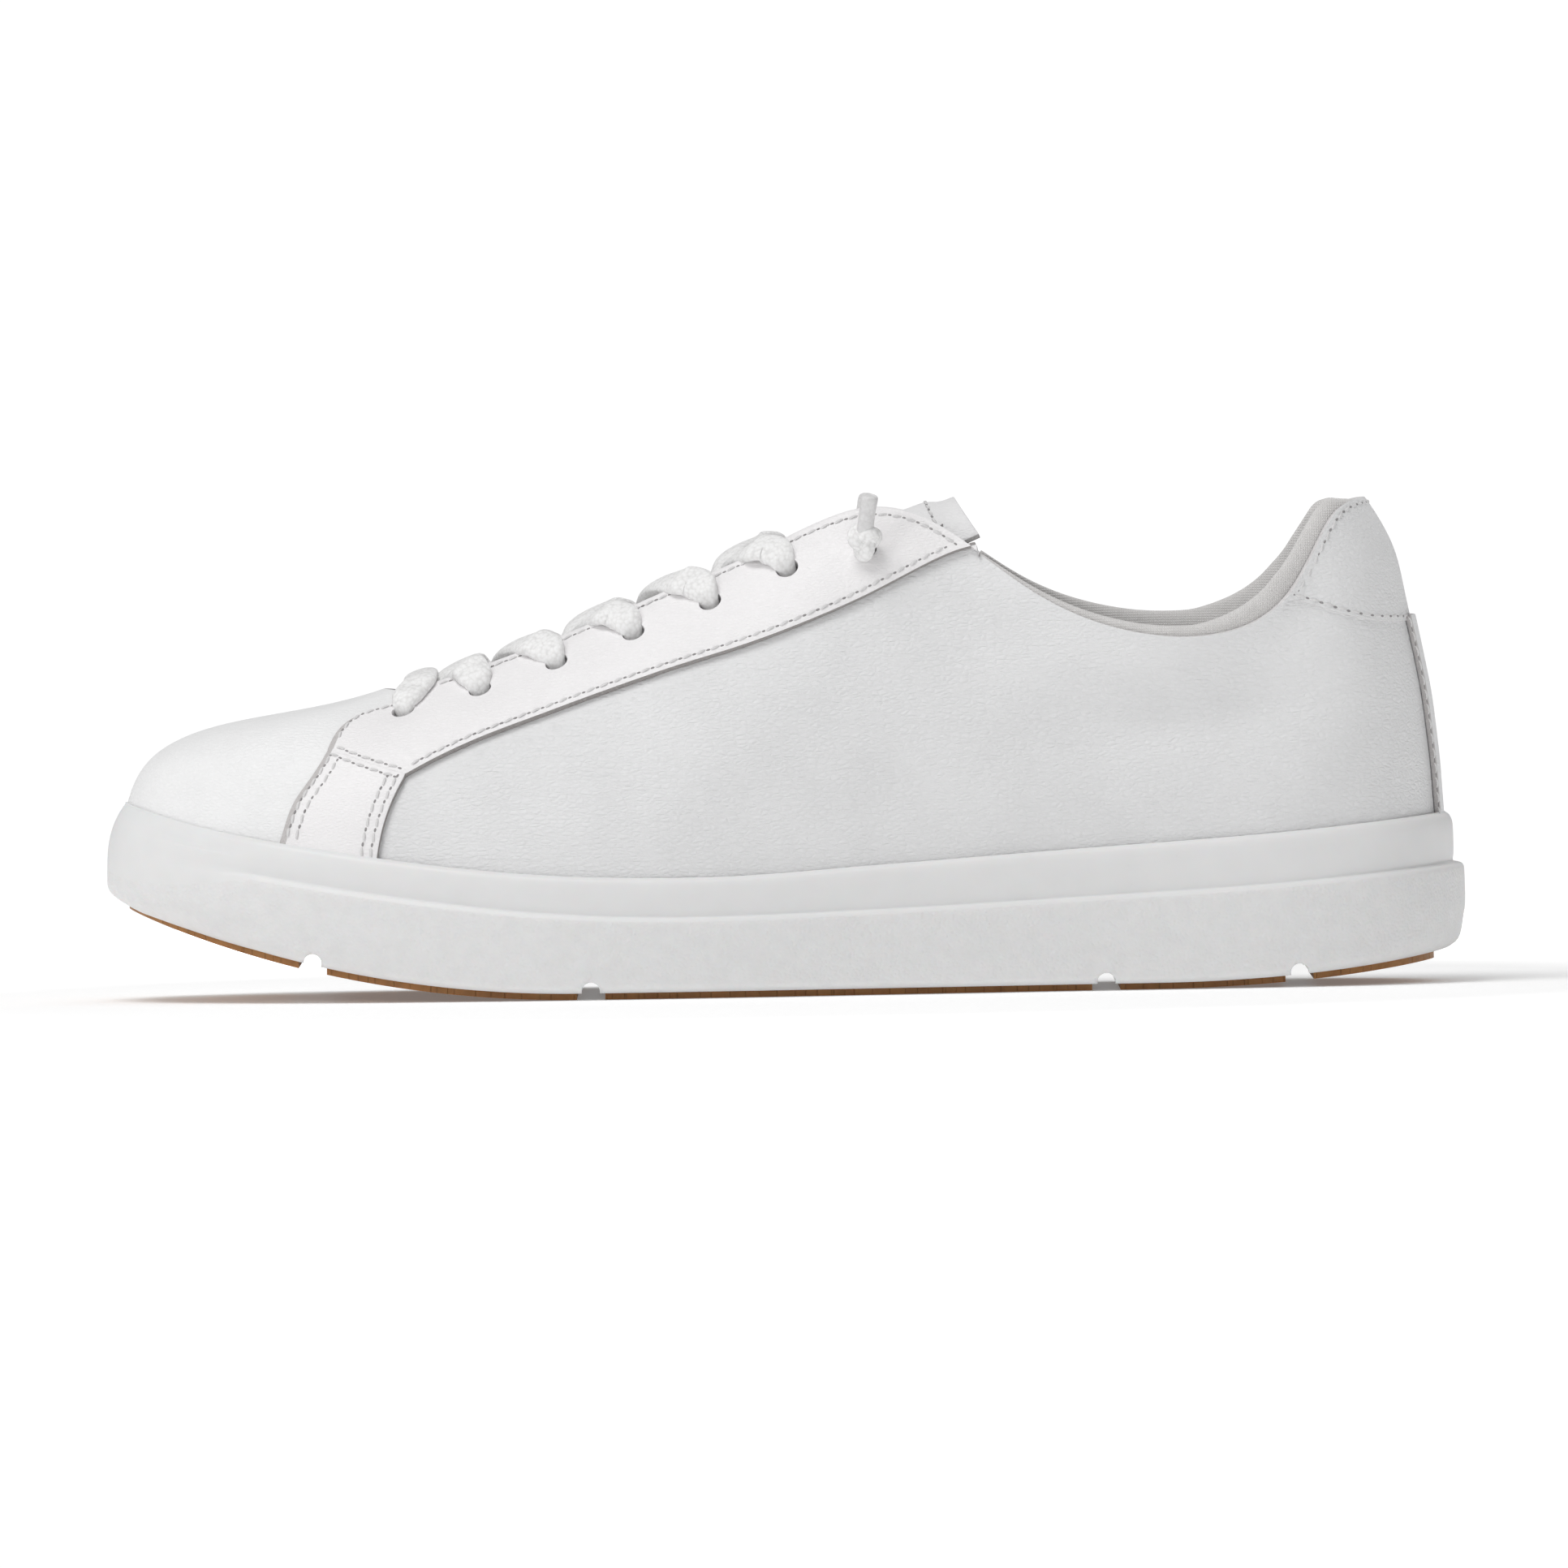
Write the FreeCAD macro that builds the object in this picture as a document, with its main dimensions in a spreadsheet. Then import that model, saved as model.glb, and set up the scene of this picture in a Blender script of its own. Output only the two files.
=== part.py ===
"""Low court shoe, left foot, as a parametric FreeCAD document. Millimetres.

Frame: the outsole stands on Z = 0, the toe points to -X, the heel to +X, the outer (lateral) side
faces -Y and the inner (medial) side +Y. The origin is on the ground under the middle of the sole.

The upper is one form. RIBS run from the board at the bottom of the cup up to the edge of the opening,
each a cubic Bezier curve, and smooth closed splines join them round the foot. Every shell of the
upper is a layer at its own depth from that form, lofted through sections at every half rib, with a thin
cement line between neighbours.
"""

import FreeCAD, Part

import math
import os

from FreeCAD import Placement, Rotation, Vector

doc = FreeCAD.newDocument("court_shoe")

# ---------------------------------------------------------------- driving dimensions
SIZES = {
    "leather": 1.3,            # thickness of the vamp, quarters, eyestays and straps
    "cement": 0.12,            # gap between glued layers
    "cup_gap": 0.25,           # between the upper and the cup it is glued and stitched into
    "backing": 1.0,            # toe puff, counter and backing foam
    "lining": 0.8,
    "collar_foam": 4.2,
    "board": 1.5,
    "footbed_foam": 4.0,
    "footbed_cloth": 0.8,
    "footbed_margin": 5.0,     # from the form to the edge of the board and footbed
    "step_wall": 3.4,          # upper band of the cup, outside the upper
    "heel_strip_width": 15.0,
    "cup_wall": 5.0,           # lower band of the cup, outside the upper
    "pad_drop": 2.0,           # how far the outsole pads stand below the cup
    "pad_bed": 1.2,            # how far they are let into it
    "pad_inset": 3.5,
    "toe_spring_radius": 252.0,
    "toe_spring_start": -45.0,
    "heel_bevel_radius": 370.0,
    "heel_bevel_start": 82.0,
    "groove_radius": 1.9,
    "eyelet_radius": 2.6,
    "lace_radius": 1.45,
    "knot_radius": 3.3,
    "tip_radius": 1.6,
    "tip_length": 7.5,
    "tongue_leather": 1.0,
    "tongue_foam": 3.6,
    "tongue_cloth": 0.7,
    "tongue_radius": 18.5,     # crown of the tongue's outer face
    "side_reach": 80.0,        # cutting prisms reach this far from the middle plane
    "prism_height": 140.0,
    "eyelet_margin": 10.5,     # from the edge of the eyestay to the centre of an eyelet
    "lace_clear": 0.35,        # between the lace and what it passes
}

sheet = doc.addObject("Spreadsheet::Sheet", "Sizes")
for row, (alias, value) in enumerate(SIZES.items(), 1):
    sheet.set(f"A{row}", alias)
    sheet.set(f"B{row}", str(value))
    sheet.setAlias(f"B{row}", alias)
doc.recompute()


def size(alias):
    return float(getattr(sheet, alias))


# ---------------------------------------------------------------- side-view lines, (x, z)
CUP_TOP = [(-156, 48.0), (-131, 39.7), (-110, 35.2), (-90, 31.9), (-66, 28.7), (-42, 26.9), (-12, 26.6),
           (19, 28.4), (59, 30.9), (109, 34.0), (156, 38.5)]
CUP_STEP = [(-156, 33.4), (-131, 30.6), (-110, 26.8), (-82, 22.3), (-52, 18.8), (-22, 17.6), (19, 18.5),
            (69, 20.6), (108, 22.6), (156, 26.6)]
FLOOR = [(-156, 33.5), (-120, 21.5), (-95, 16.5), (-60, 13.5), (-10, 13.0), (50, 17.0), (100, 21.0),
         (156, 25.0)]
FLEX_GROOVES = (-103.5, -42.5, 70.5, 113.0)   # x of the grooves across the sole
PAD_NAMES = ("outsole_toe_pad", "outsole_ball_pad", "outsole_arch_pad", "outsole_heel_front_pad",
             "outsole_heel_rear_pad")
FRONT, BACK = -156.0, 156.0    # just past both ends of the shoe
ABOVE, BELOW = 130.0, -12.0    # just past its top and its underside
CUP_BLANK_LOW, CUP_BLANK_HIGH = -6.0, 51.0
CUP_LEVELS = (2, 14, 24, 30, 36, 42, 48, 54)


def height(line, x):
    """Height of a side-view line at x: cubic spans with the slope of the neighbouring points."""
    last = len(line) - 1
    i = max(0, min(last - 1, sum(p[0] <= x for p in line) - 1))

    def slope(k):
        a, b = line[max(0, k - 1)], line[min(last, k + 1)]
        return (b[1] - a[1]) / (b[0] - a[0])

    (x0, z0), (x1, z1) = line[i], line[i + 1]
    span = x1 - x0
    u = (x - x0) / span
    return (z0 * (2 * u**3 - 3 * u**2 + 1) + slope(i) * span * (u**3 - 2 * u**2 + u)
            + z1 * (3 * u**2 - 2 * u**3) + slope(i + 1) * span * (u**3 - u**2))


def sole_line(x):
    """Underside of the outsole pads: flat, with a toe spring arc in front and a bevel arc at the heel."""
    if x < size("toe_spring_start"):
        run, radius = size("toe_spring_start") - x, size("toe_spring_radius")
    elif x > size("heel_bevel_start"):
        run, radius = x - size("heel_bevel_start"), size("heel_bevel_radius")
    else:
        return 0.0
    return radius - math.sqrt(radius**2 - run**2)


def cup_bottom(x):
    return sole_line(x) + size("pad_drop")


# ---------------------------------------------------------------- the form of the upper
# One row per pair of ribs, from the back of the heel to the toe: foot of the lateral rib (x, y), foot
# of the medial rib (x, y), upper end (x, half width, z), then the Bezier handles: rise and outward
# bulge of the lower one, outward reach and drop of the upper one.
RIBS = [
    (144.2, 0.0, 144.2, 0.0, 129.0, 0.0, 106.6, 28, 2.0, 9, 14.0),
    (140.5, -15.5, 140.5, 15.0, 126.5, 11.0, 106.2, 28, 2.0, 8, 14.0),
    (129.5, -27.0, 129.5, 25.5, 120.5, 20.5, 100.8, 28, 3.0, 5, 16.0),
    (111.0, -33.0, 111.0, 30.0, 110.5, 28.0, 84.3, 26, 4.0, -1, 18.0),
    (88.0, -35.0, 88.0, 29.8, 91.5, 32.0, 77.2, 26, 4.0, -3, 18.0),
    (64.0, -37.0, 64.0, 29.3, 70.0, 30.5, 80.6, 28, 4.0, 0, 18.0),
    (42.0, -40.0, 42.0, 31.0, 53.0, 26.0, 89.5, 30, 4.0, 4, 18.0),
    (20.0, -43.2, 20.0, 34.2, 38.5, 20.0, 100.0, 34, 4.0, 9, 16.0),
    (-2.0, -46.0, -3.0, 38.8, 20.0, 16.5, 105.5, 38, 4.0, 12, 16.0),
    (-24.0, -47.7, -26.0, 44.0, -3.0, 15.0, 96.5, 38, 4.0, 14, 14.0),
    (-46.0, -47.7, -48.0, 47.0, -26.0, 14.3, 87.0, 34, 4.0, 15, 13.0),
    (-68.0, -45.7, -70.0, 47.5, -48.0, 13.7, 78.0, 32, 3.5, 16, 12.0),
    (-90.0, -41.7, -92.0, 45.5, -67.0, 12.8, 71.3, 32, 3.0, 17, 11.5),
    (-109.5, -35.5, -112.5, 40.7, -79.0, 10.8, 67.8, 34, 2.5, 20, 11.0),
    (-126.5, -26.2, -129.7, 32.2, -84.5, 7.5, 67.9, 35, 2.2, 27, 9.0),
    (-139.9, -13.2, -141.9, 20.6, -86.8, 3.8, 68.2, 37, 2.0, 30, 10.5),
    (-145.4, 4.0, -145.4, 4.0, -87.3, 0.0, 68.3, 38, 1.9, 31, 11.0),
]
MEDIAL_COLLAR_RISE = 2.5       # the inner side of the collar stands this much higher
COLLAR_ROW, COLLAR_SPREAD = 4, 1.6
TOE = len(RIBS) - 1            # rib 0 is the back of the heel; lateral ribs run up to the toe
TURNS = 2 * TOE                # medial ones back from there
SPLINE_PASSES = 60
UPRIGHT_LEAN = 20.0            # ribs leaning out less than this stand nearly upright
SECTION_POINTS, SECTION_STEP = 9, 0.5
# First and last rib number of the shells that each group of pieces is cut from, well past the pieces.
REACHES = {"lateral": (-2, 15.5), "medial": (TURNS - 15.5, TURNS + 2), "front": (10, 22), "heel": (-7, 7)}
COLLAR_REACH = (-8.5, 8.5)
LATERAL, MEDIAL = -1, 1
SIDES = (("lateral", LATERAL), ("medial", MEDIAL))


def rib_ends(row, side):
    """Foot and upper end of one rib."""
    lx, ly, mx, my, ex, half, ez = RIBS[row][:7]
    foot = Vector(lx, ly, 0) if side < 0 else Vector(mx, my, 0)
    foot.z = height(FLOOR, foot.x)
    if side > 0:
        ez += MEDIAL_COLLAR_RISE * math.exp(-(((row - COLLAR_ROW) / COLLAR_SPREAD) ** 2))
    return foot, Vector(ex, side * half, ez)


def bezier_handles(index):
    """The four control points of one rib. A rib bulges along its own lean, or square to the foot's
    outline where it stands nearly upright."""
    row, side = rows_round[index]
    rise, bulge, reach, drop = RIBS[row][7:]
    foot, end = rib_ends(row, side)
    lean = Vector(foot.x - end.x, foot.y - end.y, 0)
    if lean.Length < UPRIGHT_LEAN:
        ahead = rib_ends(*rows_round[(index + 1) % TURNS])[0]
        along = ahead - rib_ends(*rows_round[index - 1])[0]
        lean = Vector(-along.y, along.x, 0)
    lean.normalize()
    return foot, foot + lean * bulge + Vector(0, 0, rise), end + lean * reach - Vector(0, 0, drop), end


def closed_slopes(points):
    """Slopes of the closed cubic spline through points, by repeated averaging."""
    count = len(points)
    slopes = [Vector() for _ in points]
    for _ in range(SPLINE_PASSES):
        after = slopes[1:] + slopes[:1]
        slopes = [((points[(i + 1) % count] - points[i - 1]) * 3 - slopes[i - 1] - after[i]) / 4
                  for i in range(count)]
    return slopes


rows_round = [(i, LATERAL) for i in range(TOE + 1)] + [(i, MEDIAL) for i in range(TOE - 1, 0, -1)]
RIB_POINTS = [bezier_handles(index) for index in range(TURNS)]
RIB_SLOPES = [closed_slopes([rib[k] for rib in RIB_POINTS]) for k in range(4)]


def form_point(turn, rise):
    """Point of the form at rib number turn, at share rise of the rib. Past its ends a rib runs straight
    on."""
    i = math.floor(turn)
    u = turn - i
    blend = (2 * u**3 - 3 * u**2 + 1, u**3 - 2 * u**2 + u, 3 * u**2 - 2 * u**3, u**3 - u**2)
    a, b = i % TURNS, (i + 1) % TURNS
    c = [RIB_POINTS[a][k] * blend[0] + RIB_SLOPES[k][a] * blend[1]
         + RIB_POINTS[b][k] * blend[2] + RIB_SLOPES[k][b] * blend[3] for k in range(4)]
    if rise < 0:
        return c[0] + (c[1] - c[0]) * 3 * rise
    if rise > 1:
        return c[3] + (c[3] - c[2]) * 3 * (rise - 1)
    v = 1 - rise
    return c[0] * v**3 + c[1] * (3 * v * v * rise) + c[2] * (3 * v * rise * rise) + c[3] * rise**3


def form_normal(turn, rise):
    """Outward unit normal of the form."""
    step = 1e-3
    along = form_point(turn + step, rise) - form_point(turn - step, rise)
    up = form_point(turn, rise + step) - form_point(turn, rise - step)
    return up.cross(along).normalize()


def off_form(turn, rise, out):
    return form_point(turn, rise) + form_normal(turn, rise) * out


def level(vector):
    """Horizontal unit vector along a vector."""
    return Vector(vector.x, vector.y, 0).normalize()


def share_where(test):
    """Share of a rib at which a test that holds low on the rib stops holding."""
    low, high = -1.0, 1.0
    for _ in range(40):
        middle = (low + high) / 2
        if test(middle):
            low = middle
        else:
            high = middle
    return (low + high) / 2


# ---------------------------------------------------------------- curves and sections
def spline(points, closed=False):
    curve = Part.BSplineCurve()
    curve.interpolate(Points=points, PeriodicFlag=closed)
    return curve.toShape()


def joined(*runs):
    """Closed wire from runs of points, each starting where the last one ended: two points make a line,
    three or more a smooth curve."""
    edges = [Part.makeLine(*run) if len(run) == 2 else spline(run) for run in runs]
    gap = runs[-1][-1].distanceToPoint(runs[0][0])
    if gap > 1e-6:
        edges.append(Part.makeLine(runs[-1][-1], runs[0][0]))
    return Part.Wire(edges)


def ring_section(turn, outer, inner, start, end, flat=False):
    """Closed section of a layer along one rib. Depths are numbers or functions of (turn, share). A flat
    section is pressed into the plane of its rib, so that it can close the end of a shell."""
    shares = [start + (end - start) * k / (SECTION_POINTS - 1) for k in range(SECTION_POINTS)]

    def face(depth):
        return [off_form(turn, s, depth(turn, s) if callable(depth) else depth) for s in shares]

    out, back = face(outer), face(inner)[::-1]
    if flat:
        plane = Part.Plane(out[0], (out[-1] - out[0]).cross(form_normal(turn, (start + end) / 2)))
        out, back = ([plane.value(*plane.parameter(point)) for point in run] for run in (out, back))
    return joined(out, [out[-1], back[0]], back, [back[-1], out[0]])


def shell(outer, inner, reach, start=None, end=None):
    """A layer of the upper between two depths, from the first to the last rib number of its reach. start
    and end, where given, are functions of the rib number."""
    first, last = reach
    count = round((last - first) / SECTION_STEP)
    sections = []
    for k in range(count + 1):
        turn = first + k * SECTION_STEP
        low, high = start(turn) if start else 0.0, end(turn) if end else 1.0
        sections.append(ring_section(turn, outer, inner, low, high, flat=k in (0, count)))
    return Part.makeLoft(sections, True)


def foot_loop(out, z):
    """Closed plan outline of the form's lower edge, moved out by a distance, at one height."""
    points = []
    for turn in range(TURNS):
        point = form_point(turn, 0) + level(form_normal(turn, 0)) * out
        points.append(Vector(point.x, point.y, z))
    return Part.Wire(spline(points, closed=True))


def side_line(line, first, last, up=0.0, step=20.0):
    """Smooth run of points on a side-view line, at y = 0."""
    count = max(3, math.ceil(abs(last - first) / step))
    stations = [first + (last - first) * k / count for k in range(count + 1)]
    return [Vector(x, 0, height(line, x) + up) for x in stations]


def sole_edges(first, last, up=0.0):
    """Edges of the underside line between two stations: toe spring arc, flat, heel bevel arc."""
    def at(x):
        return Vector(x, 0, sole_line(x) + up)

    toe, heel = size("toe_spring_start"), size("heel_bevel_start")
    edges = []
    if first < toe:
        end = min(last, toe)
        edges.append(Part.Arc(at(first), at((first + end) / 2), at(end)).toShape())
    if max(first, toe) < min(last, heel):
        edges.append(Part.makeLine(at(max(first, toe)), at(min(last, heel))))
    if last > heel:
        start = max(first, heel)
        edges.append(Part.Arc(at(start), at((start + last) / 2), at(last)).toShape())
    return edges, at(first), at(last)


def sole_band(first, last, low, high):
    """Side-view wire of a band that follows the underside between two heights above it."""
    under, a, b = sole_edges(first, last, low)
    over, c, d = sole_edges(first, last, high)
    return Part.Wire(Part.__sortEdges__(under + over + [Part.makeLine(a, c), Part.makeLine(b, d)]))


# ---------------------------------------------------------------- document helpers
def feature(name, shape):
    obj = doc.addObject("Part::Feature", name)
    obj.Shape = shape
    return obj


def common(name, *shapes):
    obj = doc.addObject("Part::MultiCommon", name)
    obj.Shapes = list(shapes)
    return obj


def fuse(name, *shapes):
    obj = doc.addObject("Part::MultiFuse", name)
    obj.Shapes = list(shapes)
    return obj


def cut(name, base, tool):
    obj = doc.addObject("Part::Cut", name)
    obj.Base = base
    obj.Tool = tool
    return obj


def extrusion(name, wire, direction, alias, both=False):
    obj = doc.addObject("Part::Extrusion", name)
    obj.Base = feature(name + "_outline", wire)
    obj.DirMode = "Custom"
    obj.Dir = direction
    obj.Solid = True
    obj.setExpression("LengthFwd", f"Sizes.{alias}")
    if both:
        obj.setExpression("LengthRev", f"Sizes.{alias}")
    return obj


def side_prism(name, wire, side=0):
    """A side-view wire extruded across the shoe: towards one side, or both ways."""
    return extrusion(name, wire, Vector(0, side or 1, 0), "side_reach", both=not side)


def plan_prism(name, wire):
    return extrusion(name, wire, Vector(0, 0, 1), "prism_height")


def side_view(*runs):
    """Closed side-view wire from runs of (x, z)."""
    return joined(*[[Vector(x, 0, z) for x, z in run] for run in runs])


PARTS = {}


def part(obj, name=None):
    """Registers a finished piece of the shoe."""
    obj.Label = name or obj.Name
    PARTS[obj.Label] = obj
    return obj


# ---------------------------------------------------------------- sole
def cup_profile(turn):
    """Points up the outside of the cup at one rib, from below its underside over the step to the rim."""
    band, wall = size("step_wall"), size("cup_wall")
    rise = 0.16
    for _ in range(6):
        top = height(CUP_TOP, form_point(turn, rise).x)
        rise = share_where(lambda share: form_point(turn, share).z < top)
    rim = form_point(turn, rise)
    plan = level(form_normal(turn, rise))
    step = height(CUP_STEP, rim.x + plan.x * wall)
    low = cup_bottom(rim.x + plan.x * wall / 2)
    # The step fades out round the toe, where the two bands are one bulge.
    fade = max(0.0, min(1.0, (rim.x + 140) / 25))
    band += (wall - band) * (1 - fade) * 0.85
    outside = [(wall - 4.5, low - 2.0), (wall - 1.0, low + 1.6), (wall, low + 6.0), (wall - 0.2, step - 0.8),
               (band + 0.2, step + 1.4), (band - 0.1, top - 2.4), (band - 1.6, top - 0.4), (-2.5, top + 0.3)]
    points = [Vector(rim.x + plan.x * out, rim.y + plan.y * out, z) for out, z in outside]
    floor = rim - plan * 3
    roof = rim - plan * 12
    return [Vector(floor.x, floor.y, CUP_BLANK_LOW)] + points + [Vector(roof.x, roof.y, CUP_BLANK_HIGH)]


def loop_loft(loops):
    """Solid through closed loops of points, straight from each to the next. The first and last lie level."""
    return Part.makeLoft([Part.Wire(spline(loop, closed=True)) for loop in loops], True, True)


def form_level(z, out):
    """Closed loop of points round the form at one height, moved out by a distance."""
    points = []
    for turn in range(TURNS):
        rise = share_where(lambda share: form_point(turn, share).z < z)
        point = form_point(turn, rise) + level(form_normal(turn, rise)) * out
        points.append(Vector(point.x, point.y, z))
    return points


def make_cup():
    blank = feature("cup_blank", loop_loft(list(zip(*[cup_profile(turn) for turn in range(TURNS)]))))
    last = feature("cup_last", loop_loft([form_level(z, size("cup_gap")) for z in CUP_LEVELS]))
    above_floor = side_prism("above_floor", joined(
        side_line(FLOOR, FRONT, BACK), [Vector(BACK, 0, height(FLOOR, BACK)), Vector(BACK, 0, ABOVE)],
        [Vector(BACK, 0, ABOVE), Vector(FRONT, 0, ABOVE)]))
    body = cut("cup_body", blank, common("cup_cavity", last, above_floor))
    under = side_prism("under_cup", sole_band(FRONT, BACK, BELOW * 4, size("pad_drop")))
    trimmed = cut("cup_trimmed", body, under)
    grooves = []
    for index, x in enumerate(FLEX_GROOVES, 1):
        groove = doc.addObject("Part::Cylinder", f"flex_groove_{index}")
        groove.setExpression("Radius", "Sizes.groove_radius")
        groove.setExpression("Height", "2 * Sizes.side_reach")
        groove.Placement = Placement(Vector(x, size("side_reach"), cup_bottom(x)),
                                     Rotation(Vector(1, 0, 0), 90))
        grooves.append(groove)
    pockets = [outsole_pad(name + "_pocket", first, last, size("cement"))
               for name, first, last in pad_stations()]
    tools = doc.addObject("Part::Compound", "cup_tools")
    tools.Links = grooves + pockets
    part(cut("midsole_cup", trimmed, tools))


def pad_stations():
    """Name and end stations of each rubber pad between the grooves."""
    ends = (FRONT,) + FLEX_GROOVES + (BACK,)
    clear = size("groove_radius") + 1.2
    return [(name, first + clear, last - clear) for name, first, last in zip(PAD_NAMES, ends, ends[1:])]


def outsole_pad(name, first, last, grow):
    """One rubber pad, or the pocket that it is let into, larger all round by grow."""
    top = size("pad_drop") + size("pad_bed") + grow
    plan = plan_prism(name + "_plan", foot_loop(grow - size("pad_inset") + size("cup_wall") / 2, BELOW))
    return common(name, plan, side_prism(name + "_band", sole_band(first - grow, last + grow, -grow, top)))


def make_outsole():
    for name, first, last in pad_stations():
        part(outsole_pad(name, first, last, 0.0))


def floor_layer(name, low, thick, margin):
    """A flat layer lying on the floor of the cup, low above it."""
    end = height(FLOOR, BACK) + low
    band = joined(side_line(FLOOR, FRONT, BACK, low), [Vector(BACK, 0, end), Vector(BACK, 0, end + thick)],
                  side_line(FLOOR, BACK, FRONT, low + thick))
    plan = plan_prism(name + "_plan", foot_loop(-margin, BELOW))
    return part(common(name, plan, side_prism(name + "_band", band)))


def make_floor():
    """Board stitched to the upper's lower edge, then the loose footbed and its cloth cover."""
    margin, gap = size("footbed_margin"), size("cement")
    level_up = gap
    for name, thick, inset in (("strobel_board", size("board"), 0.0), ("footbed", size("footbed_foam"), 0.6),
                               ("footbed_cover", size("footbed_cloth"), 0.6)):
        floor_layer(name, level_up, thick, margin + inset)
        level_up += thick + (3 * gap if name == "strobel_board" else gap)


# ---------------------------------------------------------------- upper: outlines in side view
# Where the vamp meets the quarters, under the straps and the front of the eyestays.
VAMP_SEAM = [(-101, BELOW), (-97, 40), (-86, 54), (-76.5, 60.5), (-74.5, 69), (-72, ABOVE)]
STRAP_FRONT = [(-113, 28), (-110.6, 35.8), (-107.3, 44.7), (-103.2, 50.6), (-99.8, 56.0)]
STRAP_REAR = [(-84.6, 49.2), (-86.8, 44.0), (-88.6, 36.0), (-89.6, 26.0)]
EYESTAY_FRONT = [(-99.5, 56.6), (-98.1, 59.5), (-95.1, 62.4), (-91.1, 64.1), (-86.1, 65.4), (-79.5, 68.0)]
EYESTAY_LOWER = [(46.5, 98.0), (40, 97.4), (22, 88.9), (0, 79.8), (-41, 66.5), (-61, 59.4), (-78, 52.2),
                 (-84.2, 49.9)]
HEEL_SEAM = [(109.0, 85.6), (114.5, 84.4), (125.4, 80.9), (133.0, 79.6), (156.0, 79.0)]
TOE_PUFF_LINE = [(-112, BELOW), (-113, 50), (-104, ABOVE)]
COUNTER_LINE = [(70, BELOW), (80, 50), (104, 71), (156, 74)]
LINING_SEAM = [(-92, BELOW), (-88, 40), (-75, 56), (-70, ABOVE)]
COLLAR_END = 6.4               # how many ribs from the heel the collar's padding reaches
COLLAR_LOW, COLLAR_CLIMB = 0.56, 0.2   # share of the rib where its lower seam runs, and how far that climbs
FOAM_TOP = 0.975               # share of the rib where its foam stops
STRIP_FRONT = 110.0            # just in front of the strip at the back of the heel
EYELETS = 7
EYELET_TOP_X, EYELET_PITCH = 19.2, 17.0
OVER_AHEAD, UNDER_AHEAD = 0.4, -0.05   # ribs ahead of an eyelet where the lace goes over and under the edge
CROSSING_LIFT, BAR_ARCH = 3.0, 0.8     # how far the crossings clear the tongue, and the lowest bar arches


def region(name, side, *runs):
    return side_prism(name, side_view(*runs), side)


def rear_of(line):
    return [line, [line[-1], (BACK, ABOVE)], [(BACK, ABOVE), (BACK, BELOW)], [(BACK, BELOW), line[0]]]


def front_of(line):
    return [line, [line[-1], (FRONT, ABOVE)], [(FRONT, ABOVE), (FRONT, BELOW)], [(FRONT, BELOW), line[0]]]


def eyestay_runs():
    """The eyestay's outline: round its front, off the shoe above, and back along its lower edge."""
    return [EYESTAY_FRONT, [EYESTAY_FRONT[-1], (-79.5, ABOVE)], [(-79.5, ABOVE), (46.5, ABOVE)],
            [(46.5, ABOVE), EYESTAY_LOWER[0]], EYESTAY_LOWER, [EYESTAY_LOWER[-1], EYESTAY_FRONT[0]]]


def strap_runs():
    return [STRAP_FRONT, [STRAP_FRONT[-1], STRAP_REAR[0]], STRAP_REAR, [STRAP_REAR[-1], STRAP_FRONT[0]]]


def side_turn(side, turn):
    return turn if side == LATERAL else TURNS - turn


def eyelet_spot(side, index):
    """Rib number and share of the centre of one eyelet, counted from the top one at 0."""
    margin = size("eyelet_margin")
    target = EYELET_TOP_X - EYELET_PITCH * index

    def share_at(turn):
        edge = form_point(turn, 1)
        return share_where(lambda share: (form_point(turn, share) - edge).Length > margin)

    low, high = 7.0, 13.5
    for _ in range(24):
        turn = (low + high) / 2
        if form_point(turn, share_at(turn)).x > target:
            low = turn
        else:
            high = turn
    turn = side_turn(side, turn)
    return turn, share_at(turn)


# ---------------------------------------------------------------- upper: depths of the layers
def depths():
    """Outer and inner depth of each layer, from the outside in."""
    gap = size("cement")
    over = (gap + size("leather"), gap)
    base = (0.0, -size("leather"))
    back = (base[1] - gap, base[1] - gap - size("backing"))
    lining = (back[1] - gap, back[1] - gap - size("lining"))
    return over, base, back, lining


OVERLAY, BASE, BACKING, LINING = depths()


def from_heel(turn):
    """How many ribs away from the back of the heel."""
    turn %= TURNS
    return min(turn, TURNS - turn)


def smooth(share):
    """Eases from 0 to 1."""
    share = max(0.0, min(1.0, share))
    return share * share * (3 - 2 * share)


def collar_seam(turn):
    """Share of the rib where the collar lining meets the quarter lining. It climbs towards the edge beside
    the top eyelet."""
    return COLLAR_LOW + COLLAR_CLIMB * smooth((from_heel(turn) - 4.5) / 2.0)


def foam_depth(turn, share):
    """Inner depth of the collar foam: thickest a little below its rolled edge, thin at both ends."""
    seam = collar_seam(turn)
    along = max(0.0, min(1.0, (share - seam) / (1.0 - seam)))
    fullness = size("collar_foam") * math.sin(math.pi * along) * smooth((COLLAR_END - from_heel(turn)) / 2.5)
    return BACKING[0] - 0.6 - fullness


def foam_low(turn):
    return collar_seam(turn) + 0.02


def foam_top(_):
    return FOAM_TOP


def collar_lining_low(turn):
    return collar_seam(turn) + 0.03


def backing_top(turn):
    """The backing stops below the collar foam, and just short of the eyestay's edge."""
    return 0.97 if from_heel(turn) > COLLAR_END else collar_seam(turn)


def quarter_lining_top(turn):
    return 1.0 if from_heel(turn) > COLLAR_END else collar_seam(turn)


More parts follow.
